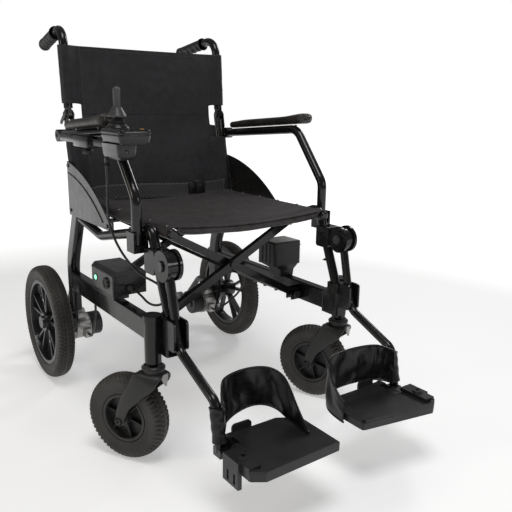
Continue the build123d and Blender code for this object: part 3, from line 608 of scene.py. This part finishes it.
def caster_fork(name, axle, ahead, hub):
    """One smooth moulding: two arms that widen into the crown, and the axle's bolts."""
    up = Vector((0, 0, 1))
    arm = FORK_ARM + [(-x, y, z) for x, y, z in reversed(FORK_ARM[:-1])]
    path = spline_points([hub + axle * x * MM + ahead * y * MM + up * z * MM for x, y, z in arm],
                         14)
    count, sides = len(path), 24
    verts = []
    for k, p in enumerate(path):
        along = (path[min(k + 1, count - 1)] - path[max(k - 1, 0)]).normalized()
        share = min(k, count - 1 - k) / (count - 1)
        wide = (ahead + up * lerp_table(FORK_LEAN, share)).normalized()
        thick = along.cross(wide).normalized()
        half = lerp_table(FORK_WIDTH, share) * MM
        for j in range(sides):
            a = tau * j / sides
            verts.append(p + wide * half * signed_power(cos(a), 0.6)
                         + thick * 4.4 * MM * signed_power(sin(a), 0.6))
    plastic = "caster_plastic"
    pieces = [mesh_object("fork_arms", verts, tube_faces(count, sides), plastic)]
    for side in (-1, 1):
        for profile, segments in (([(33, 10.5), (36.5, 10), (37, 8.5)], 32),
                                  ([(36, 6.6), (38.4, 6.6), (39, 5.6), (39, 3), (37.6, 2.8)], 6)):
            pieces.append(lathe("fork_bolt", profile, hub, axle * side, plastic, segments))
    pieces.append(lathe("fork_stem", [(108, 20), (116, 22), (124, 18), (126, 7.9), (200, 7.9)],
                        hub + ahead * 65 * MM, up, plastic))
    whole = joined(f"caster_fork_{name}_moulding", pieces)
    finish_piece(whole, plastic, f"caster_fork_{name}", f"caster_fork_{name}")


def fork_details(name):
    """The fork, its cap ring and the reflector tab on its shoulder."""
    roll, body, slot = JOINTS[f"caster_roll_{name}"], f"caster_fork_{name}", "caster_plastic"
    axle, hub = Vector(roll["axis"]), Vector(roll["pos_m"])
    stem = Vector(JOINTS[f"caster_swivel_{name}"]["pos_m"])
    ahead = Vector((stem.x - hub.x, stem.y - hub.y, 0)).normalized()
    caster_fork(name, axle, ahead, hub)
    turned(f"fork_cap_{name}", slot, body, slot,
           [(-6, 21), (-2, 24), (3, 24.5), (6, 21), (7.5, 18.8)], (stem.x, stem.y, 0.212))
    centre = Vector((stem.x, stem.y, 0.190)) + ahead * 24 * MM
    outline = [(-8, 11), (8, 11), (9, 3), (0, -12), (-9, 3)]
    verts = [centre + axle * x * MM + Vector((0, 0, z * MM)) + ahead * (out + (17 - z) * 0.12) * MM
             for out in (0.0, 3.0) for x, z in outline]
    faces = [tuple(range(5)), tuple(reversed(range(5, 10)))]
    faces += [(i, (i + 1) % 5, 5 + (i + 1) % 5, 5 + i) for i in range(5)]
    tab = mesh_object(f"fork_reflector_{name}", verts, faces, "reflector_grey", smooth=False)
    modify(tab, "BEVEL", width=0.8 * MM, segments=2)
    finish_piece(tab, slot, body)


# ---- grips and pads
# where the canes bend into the push handles, and the handles' ends, as (y, z)
GRIP_BEND = (0.298, 0.912)
GRIP_END = (0.476, 0.882)


def push_grips():
    """Rubber grips with finger scallops underneath."""
    for name, s in SIDES.items():
        bend = Vector((s * CANE_X, *GRIP_BEND))
        end = Vector((s * 208 * MM, *GRIP_END))
        along = (end - bend).normalized()
        start = bend + along * 62 * MM
        length, finger = (end - start).length + 8 * MM, 24 * MM
        side = Vector((1, 0, 0)) - along * along.x
        side.normalize()
        below = side.cross(along)
        if below.z > 0:
            below = -below

        def point(u, v):
            place, a = u * length, tau * v
            down = cos(a)
            r = 14.2 * MM
            r += 2.6 * MM * max(0.0, down) ** 0.7 * cos(tau * place / finger)
            r += 1.9 * MM * (1 - smoothstep(5 * MM, 8 * MM, place))
            r += 0.9 * MM * smoothstep(length - 16 * MM, length - 10 * MM, place)
            r *= sqrt(max(0.0, 1 - smoothstep(length - 7 * MM, length, place) ** 3 * 0.98))
            r += 0.12 * MM * (1 if int(place / (3 * MM)) % 2 and down < 0.2 else 0)
            return start + along * place + (below * down + side * sin(a)) * r

        grip = surface(f"push_grip_{name}_rubber", point, 130, 40, "grip_rubber", wrap=True)
        finish_piece(grip, "grip_rubber", f"back_{name}", f"push_grip_{name}")


def armrest_pads():
    """Moulded pads: crowned, thin behind and with a thick rounded nose."""
    slope = 23 / 320
    for name in SIDES:
        low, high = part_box(f"armrest_pad_{name}")
        middle = (low.x + high.x) / 2

        def point(u, v):
            length = high.y - low.y - 2 * MM
            y = high.y - 1 * MM - u * length
            floor = low.z + (high.y - y) * slope + 0.5 * MM
            nose = smoothstep(0.72, 1.0, u)
            thick = (18 + 3 * smoothstep(0, 0.25, u) + 4.5 * nose) * MM
            near_end = min(u, 1 - u) * length
            close = sqrt(max(0.0, 1 - (1 - min(1.0, near_end / (12 * MM))) ** 2))
            half = 22.6 * MM * (0.35 + 0.65 * close) * (0.86 + 0.14 * smoothstep(0, 0.4, u))
            a = tau * v
            cx, sz = signed_power(cos(a), 0.55), signed_power(sin(a), 0.7)
            lift = thick * (0.30 + 0.70 * close) / 2
            seam = 0.7 * MM * exp(-((sz + 0.55) / 0.12) ** 2)
            return (middle + (half - seam) * cx, y, floor + thick / 2 + lift * sz)

        pad = surface(f"armrest_pad_{name}_foam", point, 90, 48, "pad_foam", wrap=True, ends=True)
        modify(pad, "SUBSURF", levels=1, render_levels=1)
        apply_modifiers(pad)
        finish_piece(pad, "pad_foam", f"armrest_{name}", f"armrest_pad_{name}")


# ---- seat
def crumple(x, y, scale, depth):
    """A small fold height from layered noise."""
    return depth * noise.fractal(Vector((x, y, 0)) * scale, 1.0, 2.0, 3)


def seat_height(x, y):
    """How far the seat's cloth hangs below the rails' tops."""
    reach = 190 * MM
    across = max(0.0, 1 - (x / reach) ** 2)
    along = 0.75 + 0.25 * sin(pi * (y - SEAT_LOW.y) / (SEAT_HIGH.y - SEAT_LOW.y))
    return 13 * MM * across * along


def seat():
    """Nylon seat sling, pulled over both rails, with a padded front hem and edge screws."""
    rail_z = SEAT_LOW.z - 11.4 * MM
    radius = 11.5 * MM
    rail_x = 201 * MM
    # the share of the cloth between the rails; the rest wraps round them
    flat, wrapped = 0.88, radians(120)
    screws = [SEAT_LOW.y + 25 * MM + k * 78 * MM for k in range(6)]

    def point(u, v):
        y = SEAT_LOW.y + 2 * MM + u * (SEAT_HIGH.y - SEAT_LOW.y - 3 * MM)
        s = 2 * v - 1
        side = 1 if s > 0 else -1
        share = abs(s)
        if share > flat:
            a = (share - flat) / (1 - flat) * wrapped
            return (side * (rail_x + radius * sin(a)), y, rail_z + radius * cos(a))
        x = side * rail_x * share / flat
        z = rail_z + radius - seat_height(x, y) * smoothstep(0, 0.1, (rail_x - abs(x)) / rail_x)
        edge = smoothstep(0, 30 * MM, rail_x - abs(x))
        z += crumple(x * 0.35, y * 1.6, 9, 1.6 * MM) * edge
        for screw in screws:
            away = hypot(abs(x) - rail_x + 14 * MM, y - screw)
            z += 0.9 * MM * exp(-(away / (9 * MM)) ** 2) * cos(away / (2.4 * MM))
        return (x, y, z)

    cloth = surface("seat_sling_cloth", point, 150, 170, "seat_fabric")
    modify(cloth, "SOLIDIFY", thickness=1.8 * MM, offset=1)
    apply_modifiers(cloth)
    whole = joined("seat_sling_cloth", [cloth, front_hem(rail_x, rail_z + radius)])
    stitches = joined("seat_stitches", [stitch_row([
        (x * MM, y, rail_z + radius - seat_height(x * MM, y) + 2.1 * MM)
        for x in range(-184, 185, 4)])
        for y in (SEAT_LOW.y + 30 * MM, SEAT_HIGH.y - 14 * MM)])
    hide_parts("seat_sling")
    for piece in (whole, stitches):
        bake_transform(piece)
    for name, s in SIDES.items():
        heads = [lathe("head", [(0, 4.2), (1.2, 4.0), (2.2, 2.6), (2.4, 0)],
                       (s * rail_x, y, rail_z + radius + 1.4 * MM), (0, 0, 1), "bolt_steel", 20)
                 for y in screws]
        finish_piece(joined(f"seat_screws_{name}", heads), "bolt_steel",
                     "cross_b" if s > 0 else "cross_a")


def front_hem(rail_x, top):
    """The rolled front edge of the seat."""

    def point(u, v):
        x = (2 * u - 1) * (rail_x - 13 * MM)
        y0 = SEAT_LOW.y + 11 * MM
        a = tau * v
        end = smoothstep(0, 14 * MM, rail_x - 13 * MM - abs(x))
        drop = seat_height(x, y0)
        tall = (3.0 + 5.5 * end) * MM
        z0 = top - drop - tall + 1.4 * MM + crumple(x, 0.3, 16, 1.2 * MM) * end
        return (x, y0 + 10.5 * MM * cos(a), z0 + tall * sin(a))

    return surface("front_hem", point, 120, 22, "seat_fabric", wrap=True, ends=True)


def stitch_row(points):
    """A row of sewn stitches: short raised dashes along points."""
    pieces = []
    for k in range(0, len(points) - 1, 2):
        a, b = Vector(points[k]), Vector(points[k + 1])
        mid = (a + b) / 2 + Vector((0, 0, 0.3 * MM))
        pieces.append(tube("stitch", [a, mid, b], 0.45, "belt_webbing", 6))
    return joined("stitches", pieces)


# ---- back
def cane_line(z):
    """The y of the canes' centre line at a height."""
    slope = CANE_SLOPE if z < BACK_FOLD.z else UPPER_SLOPE
    return BACK_FOLD.y + (z - BACK_FOLD.z) * slope


def back_depth(x, z):
    """The cloth's sag behind the canes; none on the fold line."""
    away = smoothstep(0, 70 * MM, abs(z - BACK_FOLD.z))
    across = max(0.0, 1 - (x / (190 * MM)) ** 2)
    folds = crumple(x * 0.6, z * 1.3 + 3, 7, 2.6 * MM) + crumple(x * 1.4, z * 0.5, 22, 0.5 * MM)
    return away * (9 * MM * across + folds * smoothstep(0, 0.3, across))


# the heights of the open windows between the back's cloth and the canes, and where the
# sleeves round the canes end below and above the hinge
WINDOW = (674 * MM, 726 * MM)
SLEEVE_ENDS = (640 * MM, 728 * MM)


def back_half(name, low, high, sleeve_low, sleeve_high, body):
    """One half of the back's cloth: a panel, a sleeve round each cane and their seams."""
    seam_x, spacing, raised = 186 * MM, 3.5 * MM, 1.3 * MM

    def edge(z):
        """Half width of the panel: narrow in the windows beside the hinge."""
        inside = smoothstep(WINDOW[0] - 3 * MM, WINDOW[0], z)
        inside *= 1 - smoothstep(WINDOW[1], WINDOW[1] + 3 * MM, z)
        return 207 * MM - 19 * MM * inside

    def panel(u, v):
        z = low + u * (high - low)
        x = (2 * v - 1) * edge(z)
        return (x, cane_line(z) + back_depth(x, z), z)

    sheet = surface("panel", panel, max(24, int((high - low) * 500)), 150, "back_fabric")
    modify(sheet, "SOLIDIFY", thickness=1.6 * MM, offset=0)
    pieces, seams = [sheet], []
    length = sleeve_high - sleeve_low
    for s in SIDES.values():
        def sleeve(u, v):
            z = sleeve_low + u * length
            a = tau * v
            bulge = 14.4 * MM + crumple(z, s + v * 0.2, 30, 0.7 * MM)
            x, y = bulge * cos(a), bulge * sin(a)
            if x < 0:
                pull = smoothstep(0, 1, -x / bulge)
                x -= 21 * MM * pull
                y *= 1 - 0.9 * pull
            ends = 0.8 * MM * (smoothstep(0.0, 0.02, u) - smoothstep(0.98, 1.0, u) - 1)
            y += copysign(abs(ends), y) * 0.5
            return (s * (CANE_X + x), cane_line(z) + y, z)

        loop = surface("sleeve", sleeve, max(20, int(length * 350)), 64, "back_fabric", wrap=True)
        modify(loop, "SOLIDIFY", thickness=1.2 * MM, offset=-1)
        pieces.append(loop)
        for x in (seam_x - 3 * MM, seam_x + 2 * MM):
            places = [sleeve_low + 3 * MM + k * spacing for k in range(int(length / spacing))]
            seams.append(stitch_row([(s * x, cane_line(z) + back_depth(x, z) - raised, z)
                                     for z in places]))
    for edge_z, inward in ((low, 9 * MM), (high, -9 * MM)):
        z = edge_z + inward
        if abs(edge_z - BACK_FOLD.z) > 20 * MM:
            seams.append(stitch_row([(x * MM, cane_line(z) + back_depth(x * MM, z) - raised, z)
                                     for x in range(-182, 183, 4)]))
    cloth, stitches = joined(name, pieces), joined(f"{name}_stitches", seams)
    for obj in (cloth, stitches):
        finish_piece(obj, "back_fabric", body)
    fold_with_frame(cloth, stitches)
    return cloth, stitches


def back():
    """The two halves of the back, meeting on the fold's axis."""
    lower_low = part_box("back_sling_lower")[0]
    upper_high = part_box("back_sling_upper")[1]
    upper, upper_seams = back_half("back_sling_upper_cloth", BACK_FOLD.z, upper_high.z,
                                   SLEEVE_ENDS[1], upper_high.z, "back_right")
    lower, lower_seams = back_half("back_sling_lower_cloth", lower_low.z - 20 * MM, BACK_FOLD.z,
                                   lower_low.z, SLEEVE_ENDS[0], "frame_right")
    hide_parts("back_sling_upper")
    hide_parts("back_sling_lower")


# ---- belt
def belt():
    """Lap belt: twill webbing along the back of the seat, and its two-part buckle."""
    low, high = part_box("lap_belt")
    middle = (low.z + high.z) / 2
    y0 = high.y - 1.2 * MM
    half = 19 * MM

    def strap(u, v):
        x = -204 * MM + u * 408 * MM
        lift = 4 * MM * sin(u * 5.3 + 0.6) * smoothstep(0, 0.1, u) * smoothstep(0, 0.1, 1 - u)
        lean = 2.5 * MM * sin(u * 9)
        z = middle + lift + (2 * v - 1) * half
        return (x, y0 - 2 * MM - lean * (v - 0.5) - 3 * MM * sin(pi * u), z)

    webbing = surface("lap_belt_webbing", strap, 160, 10, "belt_webbing")
    modify(webbing, "SOLIDIFY", thickness=1.4 * MM, offset=0)
    apply_modifiers(webbing)
    finish_piece(webbing, "belt_webbing", "frame_right", "lap_belt")
    x0, x1 = 84 * MM, 136 * MM
    front, rear = low.y + 1 * MM, y0 - 5.6 * MM
    split = x0 + 0.42 * (x1 - x0)
    boxes = [((x0, front, middle - 17.5 * MM), (split - 0.7 * MM, rear, middle + 17.5 * MM), 3),
             ((split, front, middle - 21 * MM), (x1, rear, middle + 21 * MM), 3)]
    boxes += [((split - 5 * MM, front + 1 * MM, middle + sign * 15 * MM - 3 * MM),
               (split + 12 * MM, rear - 1 * MM, middle + sign * 19 * MM + 3 * MM), 1.5)
              for sign in (-1, 1)]
    boxes.append(((x1 - 6 * MM, front - 0.6 * MM, middle - 17 * MM),
                  (x1 - 2 * MM, front + 4 * MM, middle + 17 * MM), 1))
    buckle = joined("belt_buckle", [rounded_box("part", a, b, "control_plastic", radius)
                                    for a, b, radius in boxes])
    finish_piece(buckle, "control_plastic", "frame_right")
    fold_with_frame(webbing, buckle)


# ---- heel loops
# for each band its route seen from above, as (x, y) in mm, and its lower and upper edges, as
# (share of the way, z in mm)
HEEL_BANDS = {
    "right": ([(219, -433), (214, -408), (185, -393), (140, -386), (102, -392), (78, -418),
               (72, -452), (71, -496)],
              [(0, 139), (0.1, 142), (0.3, 158), (0.5, 164), (0.7, 156), (0.85, 138), (1, 134)],
              [(0, 206), (0.04, 214), (0.12, 240), (0.3, 243), (0.5, 241), (0.7, 236),
               (0.84, 214), (0.93, 172), (1, 136)]),
    "left": ([(219, -440), (212, -412), (180, -398), (140, -392), (100, -393), (66, -400),
              (44, -416), (37, -448), (36, -478)],
             [(0, 139), (0.4, 142), (0.62, 143), (0.74, 132), (0.84, 118), (1, 116)],
             [(0, 213), (0.1, 221), (0.3, 222), (0.5, 222), (0.68, 222), (0.8, 212), (0.9, 180),
              (1, 158)]),
}


def heel_loops():
    """Hemmed webbing bands behind the heels; the right one arches up."""
    for name, s in SIDES.items():
        route, *tables = HEEL_BANDS[name]
        line = spline_points([(s * x * MM, y * MM, 0) for x, y in route], 12)
        count = len(line)
        edges = [[(p.x, p.y) for p in spline_points([(u, z, 0) for u, z in table], 12)]
                 for table in tables]

        def point(u, v):
            k = min(int(u * (count - 1)), count - 2)
            share = u * (count - 1) - k
            p = line[k].lerp(line[k + 1], share)
            ahead = (line[k + 1] - line[k]).normalized()
            out = Vector((ahead.y, -ahead.x, 0))
            low, high = lerp_table(edges[0], u) * MM, lerp_table(edges[1], u) * MM
            z = low + (high - low) * v
            pleat = exp(-((u - 0.12) / 0.1) ** 2) * sin(u * 90 + v * 2.2)
            soft = sin(u * 26 + 2.5 * v) * 1.4 + crumple(u * 2.5, v * 0.5, 1.6, 2.6)
            bulge = (2.2 * pleat + 2.0 * soft) * MM * sin(pi * v) ** 0.6
            return p + out * bulge + Vector((0, 0, z))

        band = surface("band", point, 170, 40, "heel_webbing")
        modify(band, "SOLIDIFY", thickness=1.6 * MM, offset=0)
        hems = [tube("hem", [point(k / 120, v) for k in range(121)], 2.3, "heel_webbing", 10)
                for v in (0.0, 1.0)]
        foot = Vector((s * 230 * MM, -434 * MM, 139 * MM))
        head = Vector((s * 230 * MM, -421.5 * MM, 203 * MM))
        sleeve = tube("sleeve", [foot.lerp(head, k / 24) for k in range(25)],
                      lambda t: 12.6 + 0.5 * sin(t * 19) + 0.9 * (t > 0.92 or t < 0.06),
                      "heel_webbing", 28)
        loop = joined(f"heel_loop_{name}_cloth", [band, sleeve, *hems])
        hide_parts(f"heel_loop_{name}")
        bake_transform(loop)


# ---- controls
def shell(name, low, high, corner, profile, material):
    """A moulded case: a rounded rectangle that draws in by profile's (share of height, inset).

    The corner's radius and the insets are in mm."""
    low, high = Vector(low), Vector(high)
    middle = (low + high) / 2
    half_x, half_y = (high.x - low.x) / 2, (high.y - low.y) / 2
    verts, sides = [], 64
    for height, inset in profile:
        a, b = half_x - inset * MM, half_y - inset * MM
        r = max(corner * MM - inset * MM, 1 * MM)
        for j in range(sides):
            t = tau * (j + 0.5) / sides
            cx, cy = cos(t), sin(t)
            x = copysign(a - r, cx) + r * cx
            y = copysign(b - r, cy) + r * cy
            verts.append((middle.x + x, middle.y + y, low.z + (high.z - low.z) * height))
    obj = mesh_object(name, verts, tube_faces(len(profile), sides), material)
    modify(obj, "BEVEL", width=0.7 * MM, segments=2, limit_method="ANGLE",
           angle_limit=radians(25), harden_normals=True)
    return obj


# the joystick's upper box
CASE_LOW, CASE_HIGH = Vector((-0.290, -0.180, 0.653)), Vector((-0.221, -0.080, 0.683))


def joystick_case():
    """Glossy control case: lidded upper box, tapered under-box, slide bar and clamp."""
    plastic = "control_plastic"
    parts = [
        shell("upper", CASE_LOW, CASE_HIGH, 11,
              [(0, 7), (0.12, 4), (0.5, 1.2), (0.62, 1), (0.64, 1.8), (0.68, 1.8), (0.70, 0.2),
               (0.86, 0.4), (0.95, 1.6), (1, 4.5)], plastic),
        shell("under", (-0.289, -0.168, 0.624), (-0.247, -0.082, 0.6545), 9,
              [(0, 8), (0.1, 5), (0.25, 2.6), (0.55, 1.2), (1, 0)], plastic),
        rounded_box("bar", (-0.277, -0.084, 0.643), (-0.263, 0.197, 0.657), plastic, 1.5),
        rounded_box("clamp", (-0.286, 0.0, 0.637), (-0.2586, 0.084, 0.661), plastic, 3),
        lathe("neck", [(0, 17), (7, 17), (7, 12.6), (2, 12.5), (2, 1)],
              (STICK.x, STICK.y, 0.682), (0, 0, 1), plastic),
        lathe("gland", [(0, 4.6), (17, 4.6)], (-0.281, -0.092, 0.6075), (0, 0, 1), plastic, 24)]
    finish_piece(joined("joystick_case", parts), plastic, "armrest_right", "joystick_housing")


def joystick_details():
    """Bellows and collar under the stick's skirt, lamp, speed keys, clamp knob and a screw."""
    body, slot, rings = "armrest_right", "control_plastic", 5
    steps = [k / (rings * 6) for k in range(rings * 6 + 1)]
    folds = [(t * 12.5, 17.5 - 6.0 * t + 1.5 * sin(t * rings * tau)) for t in steps]
    base = Vector((STICK.x, STICK.y, 0.6905))
    turned("joystick_bellows", "stick_rubber", body, "grip_rubber", folds, base, segments=56)
    turned("joystick_collar", slot, body, slot,
           [(-9, 24), (-6.5, 24.5), (-4.5, 23), (-2, 20), (0, 17.6)], base, segments=56)
    left, front, top = CASE_LOW.x, CASE_LOW.y, CASE_HIGH.z
    boxed("joystick_lamp", slot, body, "amber_lens",
          (CASE_HIGH.x - 22 * MM, front + 9 * MM, top - 0.6 * MM),
          (CASE_HIGH.x - 14 * MM, front + 13 * MM, top + 0.8 * MM), 0.6)
    keys = [rounded_box("key", (x, front + 10 * MM, top - 0.5 * MM),
                        (x + 9 * MM, front + 19 * MM, top + 1.5 * MM), "grip_rubber", 1)
            for x in (left + 14 * MM + k * 15 * MM for k in range(3))]
    finish_piece(joined("joystick_keys", keys), slot, body)
    turned("clamp_knob", "grip_rubber", body, "grip_rubber",
           [(0, 4), (4, 4), (5, 11), (13, 12), (15, 10), (15.5, 0)],
           (-0.272, 0.030, 0.638), (0, 0, -1), 12)
    turned("joystick_under_screw", "bolt_steel", body, "bolt_steel",
           [(0, 3.4), (1.5, 3.4), (2, 0)], (-0.270, -0.168, 0.640), (0, -1, 0), 20)


# the cable's route from the joystick down to the controller, in mm
JOYSTICK_ROUTE = [(-281, -92, 607), (-281, -89, 560), (-279, -80, 518), (-274, -78, 478),
                  (-264, -90, 440), (-252, -115, 408), (-240, -148, 386), (-224, -178, 377),
                  (-205, -190, 360), (-198, -178, 332), (-200, -146, 312), (-203, -105, 305),
                  (-206, -70, 318), (-207, -40, 322), (-207, -22.1, 322)]


def joystick_cord():
    """The joystick's cable and its strain relief."""
    route = spline_points([mm(*place) for place in JOYSTICK_ROUTE], 10)
    cable = tube("joystick_cable_jacket", route, 2.6, "cable_jacket", 12)
    relief = lathe("joystick_cable_relief", [(0, 4.4), (3, 4.4), (22, 3.1), (24, 2.9)],
                   (-0.281, -0.092, 0.6085), (0, 0.06, -1), "grip_rubber", 24)
    finish_piece(relief, "cable_jacket", "armrest_right")
    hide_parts("joystick_cable")
    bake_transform(cable)


def controller_details():
    """Lens ring, charging port cover, lid seam and the cable's plug on the controller."""
    body, slot, rubber = "frame_right", "control_plastic", "grip_rubber"
    face, row = -0.250, 0.331       # x of the outer side and z of the button and the port
    turned("power_button_ring", slot, body, rubber,
           [(-2, 8.6), (0.8, 8.6), (1.4, 7.6), (0.6, 6.4)], (face, 0.078, row), (-1, 0, 0), 40)
    turned("charging_port_cover", slot, body, rubber,
           [(-1, 13.6), (2.6, 13.6), (3.6, 12.4), (3, 9), (1.6, 8.4), (1.6, 0.01)],
           (face - 1 * MM, 0.016, row), (-1, 0, 0), 44)
    boxed("controller_seam", slot, body, "rim_black", (face - 0.4 * MM, -22.4 * MM, 0.3515),
          (-0.1666, 105.4 * MM, 0.3530), 0.4)
    turned("controller_plug", slot, body, rubber, [(0, 9), (9, 9), (10, 7), (16, 6), (17, 4)],
           (-0.207, -0.0222, 0.322), (0, -1, 0), 28)


def battery_details():
    """Pale blank plate on the battery's lid, and the lid's seam."""
    low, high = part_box("battery_box")
    boxed("battery_lid_plate", "battery_plastic", "battery", "pale_lid",
          (low.x + 8 * MM, low.y + 6 * MM, high.z - 0.6 * MM),
          (high.x - 6 * MM, high.y - 6 * MM, high.z + 1.0 * MM), 0.8)
    boxed("battery_seam", "battery_plastic", "battery", "rim_black",
          (low.x + 1.4 * MM, low.y - 0.4 * MM, high.z - 12 * MM),
          (high.x + 0.4 * MM, high.y + 0.4 * MM, high.z - 11 * MM), 0.4)


def cable_ties():
    """Nylon ties round the left front tube, their cut tails towards the seat."""
    turns = [tau * j / 24 for j in range(25)]
    ties = []
    for y, z in ((-190, 432), (-213, 372), (-236, 318)):
        centre = Vector((0.224, y * MM, z * MM))
        ring = [centre + Vector((11.9 * MM * cos(a), 11.9 * MM * sin(a), 0)) for a in turns]
        tail = [centre + Vector(mm(*step)) for step in ((-11, 0, 0), (-17, -2, 1), (-24, -3, 3))]
        ties.append(tube("band", ring, 1.1, "cable_jacket", 8, 2.0))
        ties.append(tube("tail", tail, lambda t: 2.4 - 1.6 * t, "cable_jacket", 8))
    finish_piece(joined("cable_ties_left", ties), "cable_jacket", "frame_left")


# ---- room, light and camera
def room():
    """Pale floor with a painted glow that grows with distance from the chair, and soft studio light."""
    shader = Shader("floor_pale", 0.7)
    shader.colour(shader.noise(2), 0.86, 0.90)
    shader.bsdf.inputs["Emission Color"].default_value = (1, 1, 1, 1)
    # painted light: the floor glows faintly near the chair and fully far off, so it fades into a white backdrop
    far = shader.add("ShaderNodeVectorMath", {"Vector": shader.place})
    far.operation = "LENGTH"
    far_glow, least_glow = shader.ramp(far.outputs["Value"], 0.8, 2.6), 0.34
    shader.feed(shader.math("MAXIMUM", far_glow, least_glow), "Emission Strength")
    floor = mesh_object("floor", [(-12, -12, 0), (12, -12, 0), (12, 12, 0), (-12, 12, 0)],
                        [(0, 1, 2, 3)], shader.material, smooth=False)
    world = bpy.data.worlds.new("studio")
    bpy.context.scene.world = world
    world.use_nodes = True
    nodes, links = world.node_tree.nodes, world.node_tree.links
    dim, bright = nodes["Background"], nodes.new("ShaderNodeBackground")
    for node, strength in ((dim, 0.2), (bright, 1.0)):
        node.inputs["Color"].default_value = (1, 1, 1, 1)
        node.inputs["Strength"].default_value = strength
    path, mix = nodes.new("ShaderNodeLightPath"), nodes.new("ShaderNodeMixShader")
    links.new(path.outputs["Is Camera Ray"], mix.inputs["Fac"])
    links.new(dim.outputs["Background"], mix.inputs[1])
    links.new(bright.outputs["Background"], mix.inputs[2])
    links.new(mix.outputs["Shader"], nodes["World Output"].inputs["Surface"])
    lights = [("key_top", (-0.4, -0.9, 3.0), (0, 0, 0.3), 1.2, 34, (1, 1, 1)),
              ("side_left", (-2.6, 0.3, 1.3), (0, 0, 0.5), 0.8, 10, (1.0, 0.90, 0.78)),
              ("rim_right", (2.2, 0.6, 1.9), (0, 0, 0.5), 0.7, 14, (1, 1, 1)),
              ("fill_front", (0.9, -2.6, 1.4), (0, 0, 0.4), 0.6, 8, (1, 1, 1))]
    for name, place, target, size, power, colour in lights:
        data = bpy.data.lights.new(name, "AREA")
        data.size, data.energy, data.color = size, power, colour
        lamp = placed(name, data)
        lamp.location = place
        lamp.rotation_euler = (Vector(target) - Vector(place)).to_track_quat("-Z", "Y").to_euler()
    bpy.context.scene.view_settings.view_transform = "Standard"


def camera():
    """The camera at the photograph's place: yaw, pitch and roll in degrees."""
    yaw, pitch, roll = (radians(a) for a in (35.95, 13.75, 0.86))
    level = Vector((sin(yaw), cos(yaw), 0))
    right = Vector((cos(yaw), -sin(yaw), 0))
    ahead = level * cos(pitch) + Vector((0, 0, -1)) * sin(pitch)
    up = right.cross(ahead)
    sideways = right * cos(roll) + up * sin(roll)
    upward = up * cos(roll) - right * sin(roll)
    matrix = Matrix((sideways, upward, -ahead)).transposed().to_4x4()
    matrix.translation = (-0.7763, -1.2911, 0.7344)
    data = bpy.data.cameras.new("camera")
    data.sensor_width, data.lens = 36, 43.81
    obj = placed("camera", data)
    obj.matrix_world = matrix
    bpy.context.scene.camera = obj


noise.seed_set(7)
room()
camera()
dress_nodes()
bolts()
wheels()
push_grips()
armrest_pads()
seat()
back()
belt()
heel_loops()
joystick_case()
joystick_details()
joystick_cord()
controller_details()
battery_details()
cable_ties()
